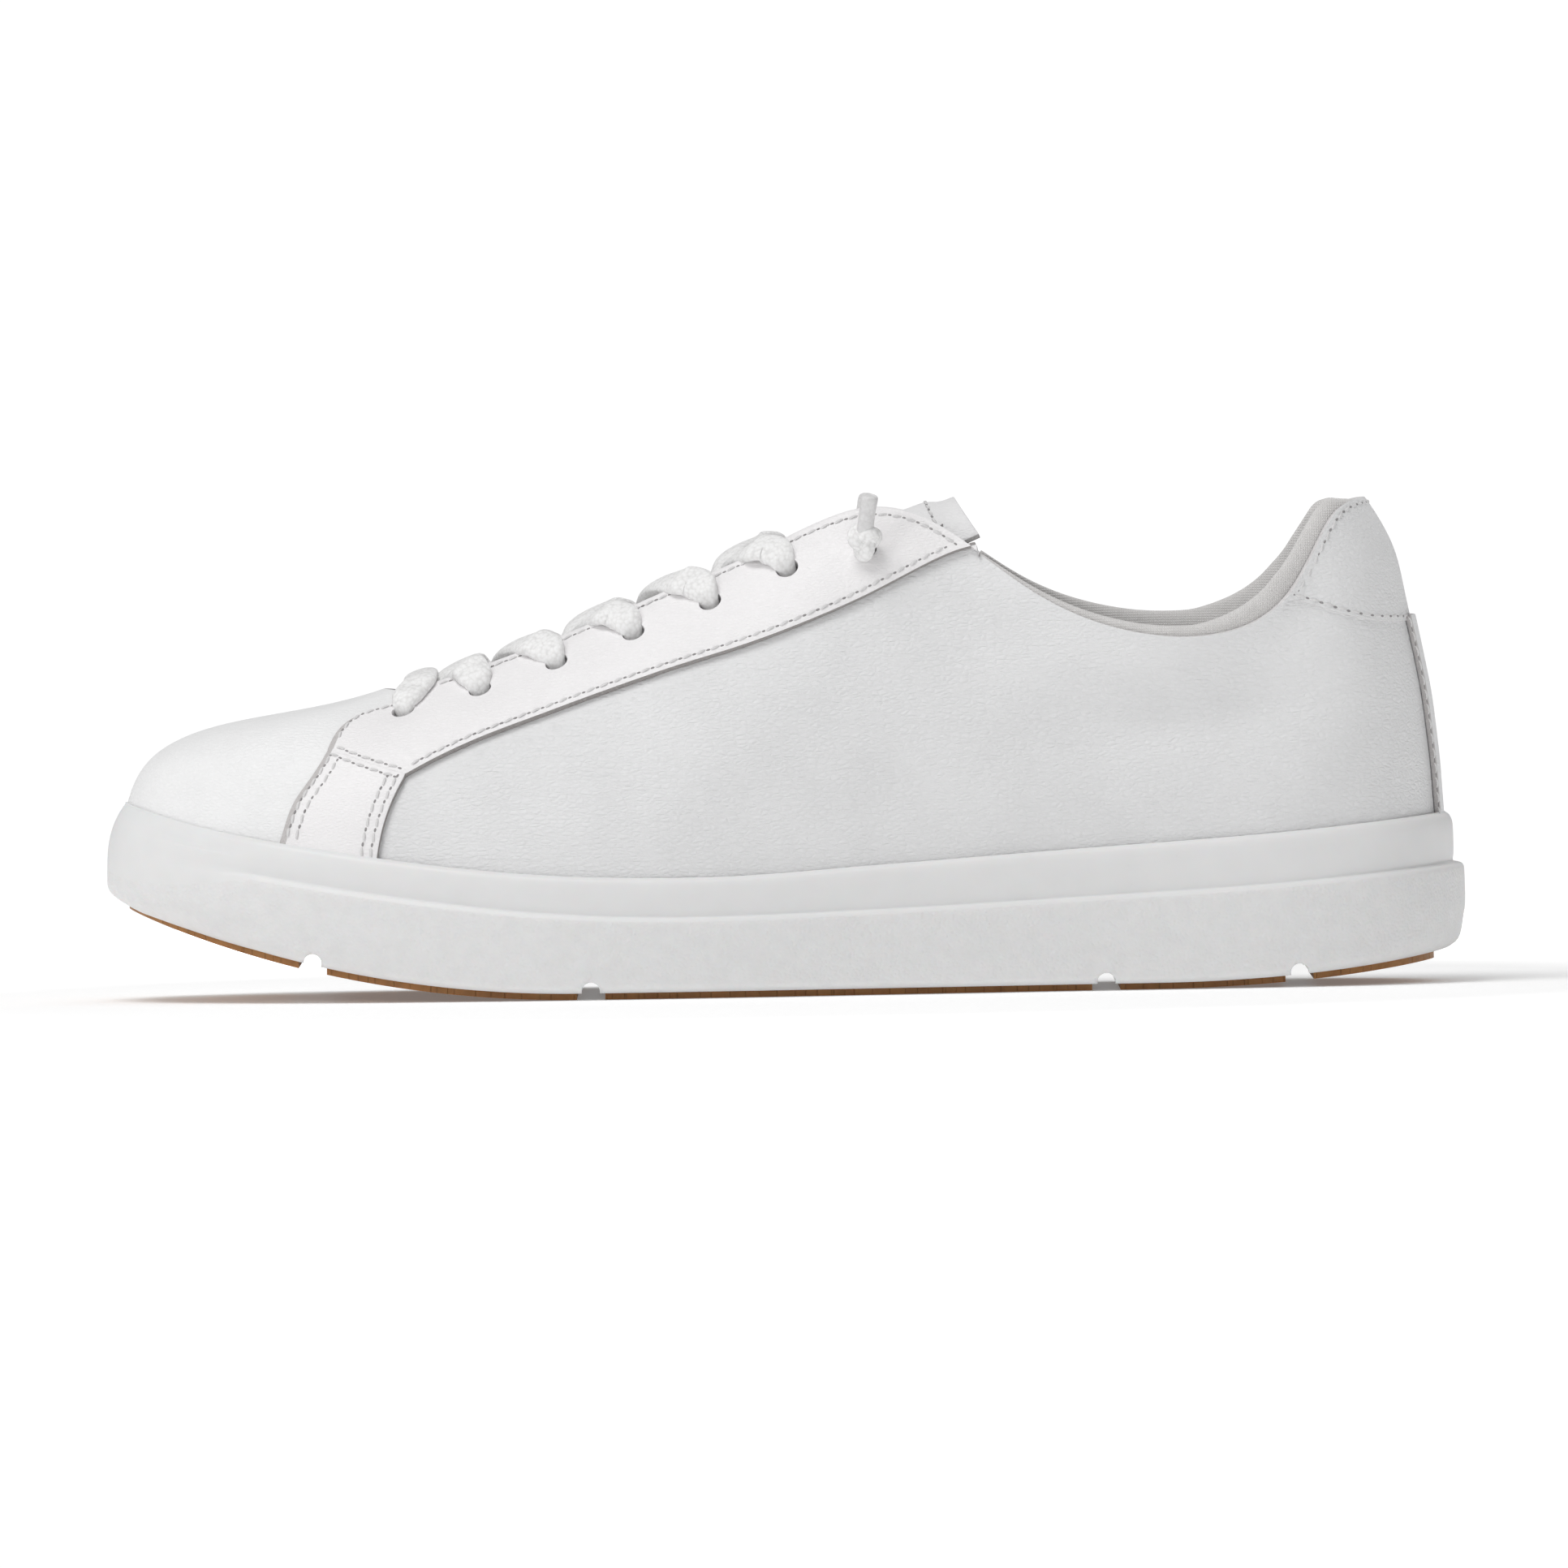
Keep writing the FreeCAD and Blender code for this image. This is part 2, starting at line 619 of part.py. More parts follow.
def make_upper():
    """Pieces of the upper, each cut from a shell of its layer."""
    gap = size("cement")

    def shells(layer, depth, places, end=None):
        return {place: feature(f"{layer}_shell_{place}", shell(*depth, REACHES[place], end=end))
                for place in places}

    over = shells("overlay", OVERLAY, ("lateral", "medial", "heel"))
    base = shells("base", BASE, REACHES)
    back = shells("backing", BACKING, REACHES, backing_top)
    lining = shells("lining", LINING, ("lateral", "medial", "front"), quarter_lining_top)
    rim = height(CUP_TOP, BACK) + 0.35
    above_cup = side_prism("above_cup", joined(side_line(CUP_TOP, FRONT, BACK, 0.35),
                                               [Vector(BACK, 0, rim), Vector(BACK, 0, ABOVE)],
                                               [Vector(BACK, 0, ABOVE), Vector(FRONT, 0, ABOVE)]))
    holes = {side: eyelet_drills(word, side) for word, side in SIDES}
    front_holes = doc.addObject("Part::Compound", "front_holes")
    front_holes.Links = [holes[side].Links[-1] for side in (LATERAL, MEDIAL)]
    for name, layers, seam in (("vamp", base, VAMP_SEAM), ("vamp_lining", lining, LINING_SEAM)):
        blank = common(name + "_blank", layers["front"], region(name + "_region", 0, *front_of(seam)))
        part(cut(name, blank, front_holes))
    part(common("toe_puff", back["front"], region("toe_puff_region", 0, *front_of(TOE_PUFF_LINE))))
    part(common("heel_patch", base["heel"], region("heel_patch_region", 0, HEEL_SEAM,
                                                   [HEEL_SEAM[-1], (BACK, ABOVE)],
                                                   [(BACK, ABOVE), (HEEL_SEAM[0][0], ABOVE)],
                                                   [(HEEL_SEAM[0][0], ABOVE), HEEL_SEAM[0]])))
    part(common("heel_counter", back["heel"], region("heel_counter_region", 0, COUNTER_LINE,
                                                     [COUNTER_LINE[-1], (BACK, BELOW)],
                                                     [(BACK, BELOW), COUNTER_LINE[0]])))
    strip = doc.addObject("Part::Box", "heel_strip_region")
    strip.setExpression("Width", "Sizes.heel_strip_width")
    strip.Length, strip.Height = BACK - STRIP_FRONT, HEEL_SEAM[-1][1]
    strip.Placement = Placement(Vector(STRIP_FRONT, -size("heel_strip_width") / 2, 0), Rotation())
    part(common("heel_strip", over["heel"], above_cup, strip))
    for word, side in SIDES:
        eyestay = region("eyestay_region_" + word, side, *eyestay_runs())
        strap = region("strap_region_" + word, side, *strap_runs())
        part(common("side_strap_" + word, over[word], above_cup, strap))
        for name, layers in (("eyestay_", over), ("eyestay_backing_", back)):
            part(cut(name + word, common(name + "blank_" + word, layers[word], eyestay), holes[side]))
        quarter = region("quarter_region_" + word, side, [HEEL_SEAM[-1], (BACK, BELOW)],
                         [(BACK, BELOW), VAMP_SEAM[0]], VAMP_SEAM, [VAMP_SEAM[-1], (HEEL_SEAM[0][0], ABOVE)],
                         [(HEEL_SEAM[0][0], ABOVE), HEEL_SEAM[0]], HEEL_SEAM)
        part(cut("quarter_" + word, common("quarter_blank_" + word, base[word], quarter), holes[side]))
        inside = region("quarter_lining_region_" + word, side, *rear_of(LINING_SEAM))
        blank = common("quarter_lining_blank_" + word, lining[word], inside)
        part(cut("quarter_lining_" + word, blank, holes[side]))
    front = [form_point(COLLAR_END - 0.3, share) for share in (0.3, 0.6, 0.8, 1.0)]
    collar = region("collar_region", 0, *rear_of([(front[0].x, BELOW)] + [(p.x, p.z) for p in front]
                                                 + [(front[-1].x, ABOVE)]))

    def cloth_depth(turn, share):
        return foam_depth(turn, share) - 3 * gap

    foam = feature("foam_shell", shell(BACKING[0] - gap, foam_depth, COLLAR_REACH, foam_low, foam_top))
    cloth = feature("collar_shell", shell(
        cloth_depth, lambda turn, share: cloth_depth(turn, share) - size("lining"), COLLAR_REACH,
        collar_lining_low))
    part(common("collar_padding", foam, collar))
    part(common("collar_lining", cloth, collar))


def eyelet_drills(word, side):
    """The seven eyelet holes of one side."""
    drills = []
    for index in range(EYELETS):
        turn, share = eyelet_spot(side, index)
        normal = form_normal(turn, share)
        drill = doc.addObject("Part::Cylinder", f"eyelet_{word}_{index + 1}")
        drill.setExpression("Radius", "Sizes.eyelet_radius")
        drill.Height = 14
        drill.Placement = Placement(off_form(turn, share, -8), Rotation(Vector(0, 0, 1), normal))
        drills.append(drill)
    group = doc.addObject("Part::Compound", f"eyelets_{word}")
    group.Links = drills
    return group


# ---------------------------------------------------------------- tongue
# Crown line of its outer face (x, z) and the half angle of its arc there.
TONGUE_LINE = [(-92.0, 58.6, 20), (-80.0, 62.2, 28), (-67.0, 66.9, 42), (-48.0, 74.2, 60), (-26.0, 83.6, 67),
               (-3.0, 93.1, 69), (20.0, 102.8, 69), (38.8, 109.6, 62)]


def crown_height(x):
    return height([(a, b) for a, b, _ in TONGUE_LINE], x)


def tongue_section(index, outer, inner):
    """Arc-shaped section square to the crown line, between two depths below its face."""
    x, z, angle = TONGUE_LINE[index]
    ahead, behind = min(x + 2, TONGUE_LINE[-1][0]), max(x - 2, TONGUE_LINE[0][0])
    slope = (crown_height(ahead) - crown_height(behind)) / (ahead - behind)
    up = Vector(-slope, 0, 1).normalize()
    radius = size("tongue_radius")
    centre = Vector(x, 0, z) - up * radius
    spread = math.radians(angle)

    def arc(depth):
        def at(turned):
            reach = radius - depth
            return centre + up * (reach * math.cos(turned)) + Vector(0, reach * math.sin(turned), 0)
        return at(-spread), Part.Arc(at(-spread), at(0), at(spread)).toShape(), at(spread)

    a, top, b = arc(outer)
    c, bottom, d = arc(inner)
    return Part.Wire([top, Part.makeLine(b, d), bottom, Part.makeLine(c, a)])


def make_tongue():
    gap = size("cement")
    depth = 0.0
    for name, thick in (("tongue_leather", size("tongue_leather")), ("tongue_padding", size("tongue_foam")),
                        ("tongue_lining", size("tongue_cloth"))):
        sections = [tongue_section(i, depth, depth + thick) for i in range(len(TONGUE_LINE))]
        part(feature(name, Part.makeLoft(sections, True)))
        depth += thick + gap


# ---------------------------------------------------------------- lace
def rounded_path(points, share=0.45):
    """Straight runs between points, joined by tangent arcs that take up to a share of the shorter run.
    Prints its length and its smallest radius."""
    edges = []
    start, smallest = points[0], math.inf
    for before, corner, after in zip(points, points[1:], points[2:]):
        back, ahead = before - corner, after - corner
        reach = share * min(back.Length, ahead.Length)
        turn = math.pi - back.getAngle(ahead)
        if turn < 1e-3:
            continue
        first, last = corner + back.normalize() * reach, corner + ahead.normalize() * reach
        radius = reach / math.tan(turn / 2)
        smallest = min(smallest, radius)
        middle = corner + (back + ahead).normalize() * (math.hypot(reach, radius) - radius)
        edges += [Part.makeLine(start, first), Part.Arc(first, middle, last).toShape()]
        start = last
    edges.append(Part.makeLine(start, points[-1]))
    wire = Part.Wire(edges)
    print(f"lace path {wire.Length:.0f} mm, smallest radius {smallest:.1f} mm")
    return wire


def lace_points():
    """Route of the lace from the lateral knot down to the bar across the lowest eyelets and up again to
    the medial knot. Below each eyelet it lies over that edge, then crosses towards the toe and goes under
    the opposite one."""
    radius, clear = size("lace_radius"), size("lace_clear")
    over, under = OVERLAY[0] + radius + 2.5 * clear, LINING[1] - radius - clear

    def at(side, index, out):
        return off_form(*eyelet_spot(side, index), out)

    def edge(side, index, out, ahead):
        turn = eyelet_spot(side, index)[0]
        return off_form(turn - side * ahead, 1.0, out)

    def crossing(index, lane):
        """Middle of the crossing below eyelet number index: lane 0 lies on the tongue, lane 1 on lane 0."""
        x = (edge(LATERAL, index, 0, OVER_AHEAD).x + edge(LATERAL, index + 1, 0, UNDER_AHEAD).x) / 2
        return Vector(x, 0, crown_height(x) + radius + CROSSING_LIFT + lane * (2 * radius + clear))

    def half(side, lane):
        """One end of the lace, from the lowest eyelet of one side up to its knot."""
        points = [at(side, EYELETS - 1, over), at(side, EYELETS - 1, under)]
        for index in range(EYELETS - 2, 0, -1):
            points += [edge(side, index + 1, under - clear, UNDER_AHEAD), crossing(index, lane)]
            side = -side
            points += [edge(side, index, over, OVER_AHEAD), at(side, index, over), at(side, index, under)]
        return points + [at(side, 0, under), at(side, 0, over)], side

    first, first_side = half(LATERAL, 1)
    second, _ = half(MEDIAL, 0)
    bottom = EYELETS - 1
    bar = [edge(LATERAL, bottom, over, 0), edge(MEDIAL, bottom, over, 0)]
    middle = (bar[0] + bar[1]) / 2 + Vector(0, 0, BAR_ARCH)
    return list(reversed(first)) + [bar[0], middle, bar[1]] + second, first_side


def make_lace():
    points, first_side = lace_points()
    knots, tips = {}, {}
    for word, side in SIDES:
        turn, share = eyelet_spot(side, 0)
        centre = off_form(turn, share, OVERLAY[0] + size("knot_radius") + size("lace_clear"))
        knot = doc.addObject("Part::Sphere", "lace_knot_" + word)
        knot.setExpression("Radius", "Sizes.knot_radius")
        knot.Placement = Placement(centre, Rotation())
        stem = doc.addObject("Part::Cylinder", "tip_stem_" + word)
        stem.setExpression("Radius", "Sizes.tip_radius")
        stem.setExpression("Height", "Sizes.tip_length")
        stem.Placement = Placement(centre, Rotation(Vector(0, 0, 1), Vector(0.02, side * 0.3, 1)))
        knots[side], tips[side] = part(knot), part(cut("lace_tip_" + word, stem, knot))
    points = [knots[first_side].Placement.Base] + points + [knots[-first_side].Placement.Base]
    path = rounded_path(points)
    start = (points[1] - points[0]).normalize()
    ring = Part.Wire(Part.makeCircle(size("lace_radius"), points[0], start))
    tube = feature("lace_tube", path.makePipeShell([ring], True, False))
    print(f"lace volume {tube.Shape.Volume:.0f}, section times length"
          f" {math.pi * size('lace_radius') ** 2 * path.Length:.0f}")
    part(cut("lace", tube, fuse("lace_ends", *knots.values())))


# ---------------------------------------------------------------- build, check, write
def main():
    make_outsole()
    make_cup()
    make_floor()
    make_upper()
    make_tongue()
    make_lace()
    doc.recompute()
    failed = [obj.Name for obj in doc.Objects if {"Invalid", "Error"} & set(obj.State)]
    if failed:
        raise SystemExit(f"failed objects: {failed}")
    for name, obj in PARTS.items():
        if obj.Shape.isNull() or not obj.Shape.isValid():
            raise SystemExit(f"{name} has no valid shape")
    os.makedirs("parts", exist_ok=True)
    for name, obj in PARTS.items():
        obj.Shape.exportStep(os.path.join("parts", name + ".step"))
    print(f"{len(PARTS)} parts written")


main()
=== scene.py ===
"""Low court shoe in white leather on a rubber cup sole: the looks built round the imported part.

Lengths in the tables are millimetres in the part's own frame: toe to -X, outer (lateral) side to -Y, ground
at Z = 0. The upper is the part's form again: cubic Bezier ribs joined by closed splines, with every layer
at its own depth from that form.
"""

import math

import bmesh
import bpy
import numpy as np
from mathutils import Matrix


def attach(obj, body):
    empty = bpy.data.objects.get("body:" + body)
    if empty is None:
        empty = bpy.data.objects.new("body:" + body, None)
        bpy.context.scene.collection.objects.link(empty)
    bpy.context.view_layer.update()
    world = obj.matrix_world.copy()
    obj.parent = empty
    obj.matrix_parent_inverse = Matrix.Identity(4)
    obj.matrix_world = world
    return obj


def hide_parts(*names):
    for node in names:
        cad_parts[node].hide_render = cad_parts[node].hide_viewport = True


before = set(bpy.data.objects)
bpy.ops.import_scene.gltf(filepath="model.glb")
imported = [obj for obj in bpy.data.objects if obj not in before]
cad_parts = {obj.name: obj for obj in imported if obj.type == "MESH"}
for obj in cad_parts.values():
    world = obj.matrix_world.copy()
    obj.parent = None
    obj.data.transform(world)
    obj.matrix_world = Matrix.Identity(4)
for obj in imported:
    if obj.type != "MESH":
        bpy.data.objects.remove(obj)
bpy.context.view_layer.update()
MM = 0.001
scene = bpy.context.scene

# ---------------------------------------------------------------- camera
VIEW_CENTRE = (0.5, 45.6)      # what the middle of the picture shows, x and z
VIEW_WIDTH = 346.0
VIEW_DISTANCE = 6000.0
VIEW_ROLL = math.radians(0.93)
VIEW_RISE = math.radians(1.2)
SENSOR = 36.0


def make_camera():
    """View of the outer side from far away and a little above, with a slight roll."""
    camera = bpy.data.objects.new("camera", bpy.data.cameras.new("camera"))
    scene.collection.objects.link(camera)
    camera.data.sensor_width = SENSOR
    camera.data.lens = SENSOR * VIEW_DISTANCE / VIEW_WIDTH
    camera.data.clip_start, camera.data.clip_end = 0.1, 100.0
    cosine, sine = math.cos(VIEW_ROLL), math.sin(VIEW_ROLL)
    level = Matrix(((cosine, sine, 0, 0), (0, 0, -1, -VIEW_DISTANCE * MM), (-sine, cosine, 0, 0), (0, 0, 0, 1)))
    centre = Matrix.Translation((VIEW_CENTRE[0] * MM, 0, VIEW_CENTRE[1] * MM))
    camera.matrix_world = centre @ Matrix.Rotation(-VIEW_RISE, 4, "X") @ level
    scene.camera = camera


make_camera()

# ---------------------------------------------------------------- the part's own lines
CUP_TOP = [(-156, 48.0), (-131, 39.7), (-110, 35.2), (-90, 31.9), (-66, 28.7), (-42, 26.9), (-12, 26.6),
           (19, 28.4), (59, 30.9), (109, 34.0), (156, 38.5)]
CUP_STEP = [(-156, 33.4), (-131, 30.6), (-110, 26.8), (-82, 22.3), (-52, 18.8), (-22, 17.6), (19, 18.5),
            (69, 20.6), (108, 22.6), (156, 26.6)]
FLOOR = [(-156, 33.5), (-120, 21.5), (-95, 16.5), (-60, 13.5), (-10, 13.0), (50, 17.0), (100, 21.0),
         (156, 25.0)]
FLEX_GROOVES = (-103.5, -42.5, 70.5, 113.0)
TOE_SPRING, HEEL_BEVEL = (-45.0, 252.0), (82.0, 370.0)   # where each arc of the underside starts, its radius
PAD_DROP = 2.0
VAMP_SEAM = [(-99, 24), (-97, 40), (-86, 54), (-76.5, 60.5), (-74.5, 69), (-73.5, 74)]
STRAP_FRONT = [(-113.2, 29), (-110.6, 35.8), (-107.3, 44.7), (-103.2, 50.6), (-99.8, 56.0)]
STRAP_REAR = [(-89.6, 26.0), (-88.6, 34.0), (-86.8, 41.0), (-84.0, 47.2), (-82.6, 49.6)]
EYESTAY_FRONT = [(-99.8, 56.2), (-98.1, 59.5), (-95.1, 62.4), (-91.1, 64.1), (-86.1, 65.4), (-79.5, 68.0)]
EYESTAY_LOWER = [(-82.6, 49.9), (-78.3, 52.2), (-73.3, 54.6), (-61.3, 59.4), (-41.3, 66.5), (-21.2, 73.1),
                 (0, 79.8), (10, 83.6), (22, 88.9), (34.1, 94.9), (40.1, 97.2), (44.5, 98.2)]
HEEL_SEAM = [(104, 87.5), (109.0, 85.6), (114.5, 84.4), (125.4, 80.9), (133.0, 79.6), (156.0, 79.0)]
TONGUE_LINE = [(-92.0, 58.6, 24), (-80.0, 62.2, 32), (-67.0, 66.9, 44), (-48.0, 74.2, 60), (-26.0, 83.6, 67),
               (-3.0, 93.1, 69), (20.0, 102.8, 69), (38.8, 109.6, 63)]
TONGUE_RADIUS, TONGUE_END = 18.5, 38.6
# Foot of the lateral rib (x, y), foot of the medial rib (x, y), upper end (x, half width, z), then rise and
# bulge of the lower handle, reach and drop of the upper one.
RIBS = [
    (144.2, 0.0, 144.2, 0.0, 129.0, 0.0, 106.6, 28, 2.0, 9, 14.0),
    (140.5, -15.5, 140.5, 15.0, 126.5, 11.0, 106.2, 28, 2.0, 8, 14.0),
    (129.5, -27.0, 129.5, 25.5, 120.5, 20.5, 100.8, 28, 3.0, 5, 16.0),
    (111.0, -33.0, 111.0, 30.0, 110.5, 28.0, 84.3, 26, 4.0, -1, 18.0),
    (88.0, -35.0, 88.0, 29.8, 91.5, 32.0, 77.2, 26, 4.0, -3, 18.0),
    (64.0, -37.0, 64.0, 29.3, 70.0, 30.5, 80.6, 28, 4.0, 0, 18.0),
    (42.0, -40.0, 42.0, 31.0, 53.0, 26.0, 89.5, 30, 4.0, 4, 18.0),
    (20.0, -43.2, 20.0, 34.2, 38.5, 20.0, 100.0, 34, 4.0, 9, 16.0),
    (-2.0, -46.0, -3.0, 38.8, 20.0, 16.5, 105.5, 38, 4.0, 12, 16.0),
    (-24.0, -47.7, -26.0, 44.0, -3.0, 15.0, 96.5, 38, 4.0, 14, 14.0),
    (-46.0, -47.7, -48.0, 47.0, -26.0, 14.3, 87.0, 34, 4.0, 15, 13.0),
    (-68.0, -45.7, -70.0, 47.5, -48.0, 13.7, 78.0, 32, 3.5, 16, 12.0),
    (-90.0, -41.7, -92.0, 45.5, -67.0, 12.8, 71.3, 32, 3.0, 17, 11.5),
    (-109.5, -35.5, -112.5, 40.7, -79.0, 10.8, 67.8, 34, 2.5, 20, 11.0),
    (-126.5, -26.2, -129.7, 32.2, -84.5, 7.5, 67.9, 35, 2.2, 27, 9.0),
    (-139.9, -13.2, -141.9, 20.6, -86.8, 3.8, 68.2, 37, 2.0, 30, 10.5),
    (-145.4, 4.0, -145.4, 4.0, -87.3, 0.0, 68.3, 38, 1.9, 31, 11.0),
]
MEDIAL_COLLAR_RISE, COLLAR_ROW, COLLAR_SPREAD = 2.5, 4, 1.6
TOE = len(RIBS) - 1
TURNS = 2 * TOE
UPRIGHT_LEAN = 20.0
LATERAL, MEDIAL = -1, 1
SIDES = (("lateral", LATERAL), ("medial", MEDIAL))
# Outer and inner depth of each layer.
OVERLAY, BASE, BACKING, LINING = (1.42, 0.12), (0.0, -1.3), (-1.42, -2.42), (-2.54, -3.34)
EYELETS = 7
EYELET_TOP_X, EYELET_PITCH, EYELET_MARGIN, EYELET_RADIUS = 19.2, 17.0, 10.5, 2.6


def blend(u, start, end, leaving, arriving):
    """Cubic between two values, with its slopes at both ends, at share u."""
    return (start * (2 * u**3 - 3 * u**2 + 1) + leaving * (u**3 - 2 * u**2 + u)
            + end * (3 * u**2 - 2 * u**3) + arriving * (u**3 - u**2))


def neighbours(count):
    """Indices of the points before and after each one, kept inside the run."""
    return np.maximum(np.arange(count) - 1, 0), np.minimum(np.arange(count) + 1, count - 1)


def length_at(points):
    """Length run so far at each point."""
    return np.r_[0, np.cumsum(np.linalg.norm(np.diff(points, axis=0), axis=1))]


def height(line, x):
    """Height of a side-view line at each x: cubic spans with the slope of the neighbouring points."""
    p = np.array(line, float)
    x = np.asarray(x, float)
    before, after = neighbours(len(p))
    slope = (p[after, 1] - p[before, 1]) / (p[after, 0] - p[before, 0])
    i = np.clip(np.searchsorted(p[:, 0], x, side="right") - 1, 0, len(p) - 2)
    span = p[i + 1, 0] - p[i, 0]
    return blend((x - p[i, 0]) / span, p[i, 1], p[i + 1, 1], slope[i] * span, slope[i + 1] * span)


def sole_line(x):
    """Underside of the outsole pads."""
    x = np.asarray(x, float)
    (toe, toe_radius), (heel, heel_radius) = TOE_SPRING, HEEL_BEVEL
    front, back = np.clip(toe - x, 0, None), np.clip(x - heel, 0, None)
    return (toe_radius - np.sqrt(toe_radius**2 - front**2)) + (heel_radius - np.sqrt(heel_radius**2 - back**2))


def along(at, stations, values):
    """Values of several columns at places between stations."""
    return np.stack([np.interp(at, stations, column) for column in values.T], -1)


def unit(vectors):
    return vectors / np.maximum(np.linalg.norm(vectors, axis=-1, keepdims=True), 1e-12)


def rib_controls():
    """The four control points of each rib, and their slopes round the foot."""
    rows = [(i, LATERAL) for i in range(TOE + 1)] + [(i, MEDIAL) for i in range(TOE - 1, 0, -1)]
    feet, ends = np.zeros((TURNS, 3)), np.zeros((TURNS, 3))
    for k, (row, side) in enumerate(rows):
        lx, ly, mx, my, ex, half, ez = RIBS[row][:7]
        feet[k, :2] = (lx, ly) if side < 0 else (mx, my)
        lift = MEDIAL_COLLAR_RISE * math.exp(-(((row - COLLAR_ROW) / COLLAR_SPREAD) ** 2)) if side > 0 else 0
        ends[k] = (ex, side * half, ez + lift)
    feet[:, 2] = height(FLOOR, feet[:, 0])
    points = np.zeros((TURNS, 4, 3))
    for k, (row, side) in enumerate(rows):
        rise, bulge, reach, drop = RIBS[row][7:]
        lean = feet[k] - ends[k]
        lean[2] = 0
        if np.linalg.norm(lean) < UPRIGHT_LEAN:
            along = feet[(k + 1) % TURNS] - feet[k - 1]
            lean = np.array((-along[1], along[0], 0))
        lean = unit(lean)
        points[k] = (feet[k], feet[k] + lean * bulge + (0, 0, rise), ends[k] + lean * reach - (0, 0, drop), ends[k])
    slopes = np.zeros_like(points)
    for _ in range(60):
        slopes = ((np.roll(points, -1, 0) - np.roll(points, 1, 0)) * 3 - np.roll(slopes, 1, 0)
                  - np.roll(slopes, -1, 0)) / 4
    return points, slopes


RIB_POINTS, RIB_SLOPES = rib_controls()


def form(t, s):
    """Points of the form at rib numbers t and shares s of the rib."""
    t, s = np.broadcast_arrays(np.asarray(t, float), np.asarray(s, float))
    i = np.floor(t).astype(int)
    u = (t - i)[..., None, None]
    a, b = i % TURNS, (i + 1) % TURNS
    c = blend(u, RIB_POINTS[a], RIB_POINTS[b], RIB_SLOPES[a], RIB_SLOPES[b])
    s = s[..., None]
    v = 1 - s
    inside = c[..., 0, :] * v**3 + 3 * c[..., 1, :] * v * v * s + 3 * c[..., 2, :] * v * s * s + c[..., 3, :] * s**3
    low = c[..., 0, :] + (c[..., 1, :] - c[..., 0, :]) * 3 * s
    high = c[..., 3, :] + (c[..., 3, :] - c[..., 2, :]) * 3 * (s - 1)
    return np.where(s < 0, low, np.where(s > 1, high, inside))


def normal(t, s):
    """Outward unit normals of the form."""
    step = 1e-3
    along = form(np.asarray(t) + step, s) - form(np.asarray(t) - step, s)
    up = form(t, np.asarray(s) + step) - form(t, np.asarray(s) - step)
    return unit(np.cross(up, along))


# Hollows pressed by the laces: centre, radius, depth. Filled in once the eyelets are known.
DENTS = []
# Wide swellings (+) and hollows (-) of the leather in the side view: how far out, centre x and its half
# length, centre z and its half height, how the centre climbs with x, and whether it is slighter inside.
SWELLINGS = [(1.0, 84, 34, 71, 6, 0.0, True), (-1.7, 88, 30, 60, 7, 0.12, True), (1.2, 136, 9, 95, 10, 0.0, False),
             (-0.45, 48, 22, 70, 5, -0.5, True), (-0.35, -62, 12, 44, 5, 0.0, False)]


def swelling(points):
    """How far the leather stands in or out at points: pressed in under the laces, fuller over the collar's
    padding and hollow below it, and nowhere quite even."""
    x, y, z = points[..., 0], points[..., 1], points[..., 2]
    out = np.zeros(points.shape[:-1])
    for centre, radius, depth in DENTS:
        out -= depth * np.exp(-(((points - centre) / radius) ** 2).sum(-1))
    for stand, at_x, length, at_z, tall, climb, slighter in SWELLINGS:
        side = np.where(y < 0, 1.0, 0.8) if slighter else 1.0
        out += side * stand * np.exp(-(((x - at_x) / length) ** 2) - (((z - at_z - (x - at_x) * climb) / tall) ** 2))
    out += 0.16 * np.sin(x * 0.075 + 1.3 + 1.4 * np.sin(z * 0.09)) * np.sin(z * 0.16 + 0.4 + y * 0.03)
    out += 0.07 * np.sin(x * 0.19 + z * 0.11 + 0.7) * np.sin(z * 0.31 - x * 0.05)
    return out * np.clip((z - 30) / 12, 0, 1)


def off(t, s, out):
    """Points at a depth from the form, soft hollows included."""
    points = form(t, s)
    return points + normal(t, s) * (np.asarray(out, float) + swelling(points))[..., None]


def smooth(share):
    share = np.clip(share, 0, 1)
    return share * share * (3 - 2 * share)


def through(points, count):
    """Evenly spaced points on the natural cubic spline through the given ones."""
    p = np.array(points, float)
    d = length_at(p)
    n, h = len(p), np.diff(d)
    bend = np.zeros_like(p)
    if n > 2:
        system, right = np.eye(n), np.zeros_like(p)
        for i in range(1, n - 1):
            system[i, i - 1:i + 2] = h[i - 1], 2 * (h[i - 1] + h[i]), h[i]
            right[i] = 6 * ((p[i + 1] - p[i]) / h[i] - (p[i] - p[i - 1]) / h[i - 1])
        bend = np.linalg.solve(system, right)
    u = np.linspace(0, d[-1], count)
    k = np.clip(np.searchsorted(d, u, side="right") - 1, 0, n - 2)
    a = ((d[k + 1] - u) / h[k])[:, None]
    b = 1 - a
    return (a * p[k] + b * p[k + 1]
            + ((a**3 - a) * bend[k] + (b**3 - b) * bend[k + 1]) * (h[k] ** 2 / 6)[:, None])


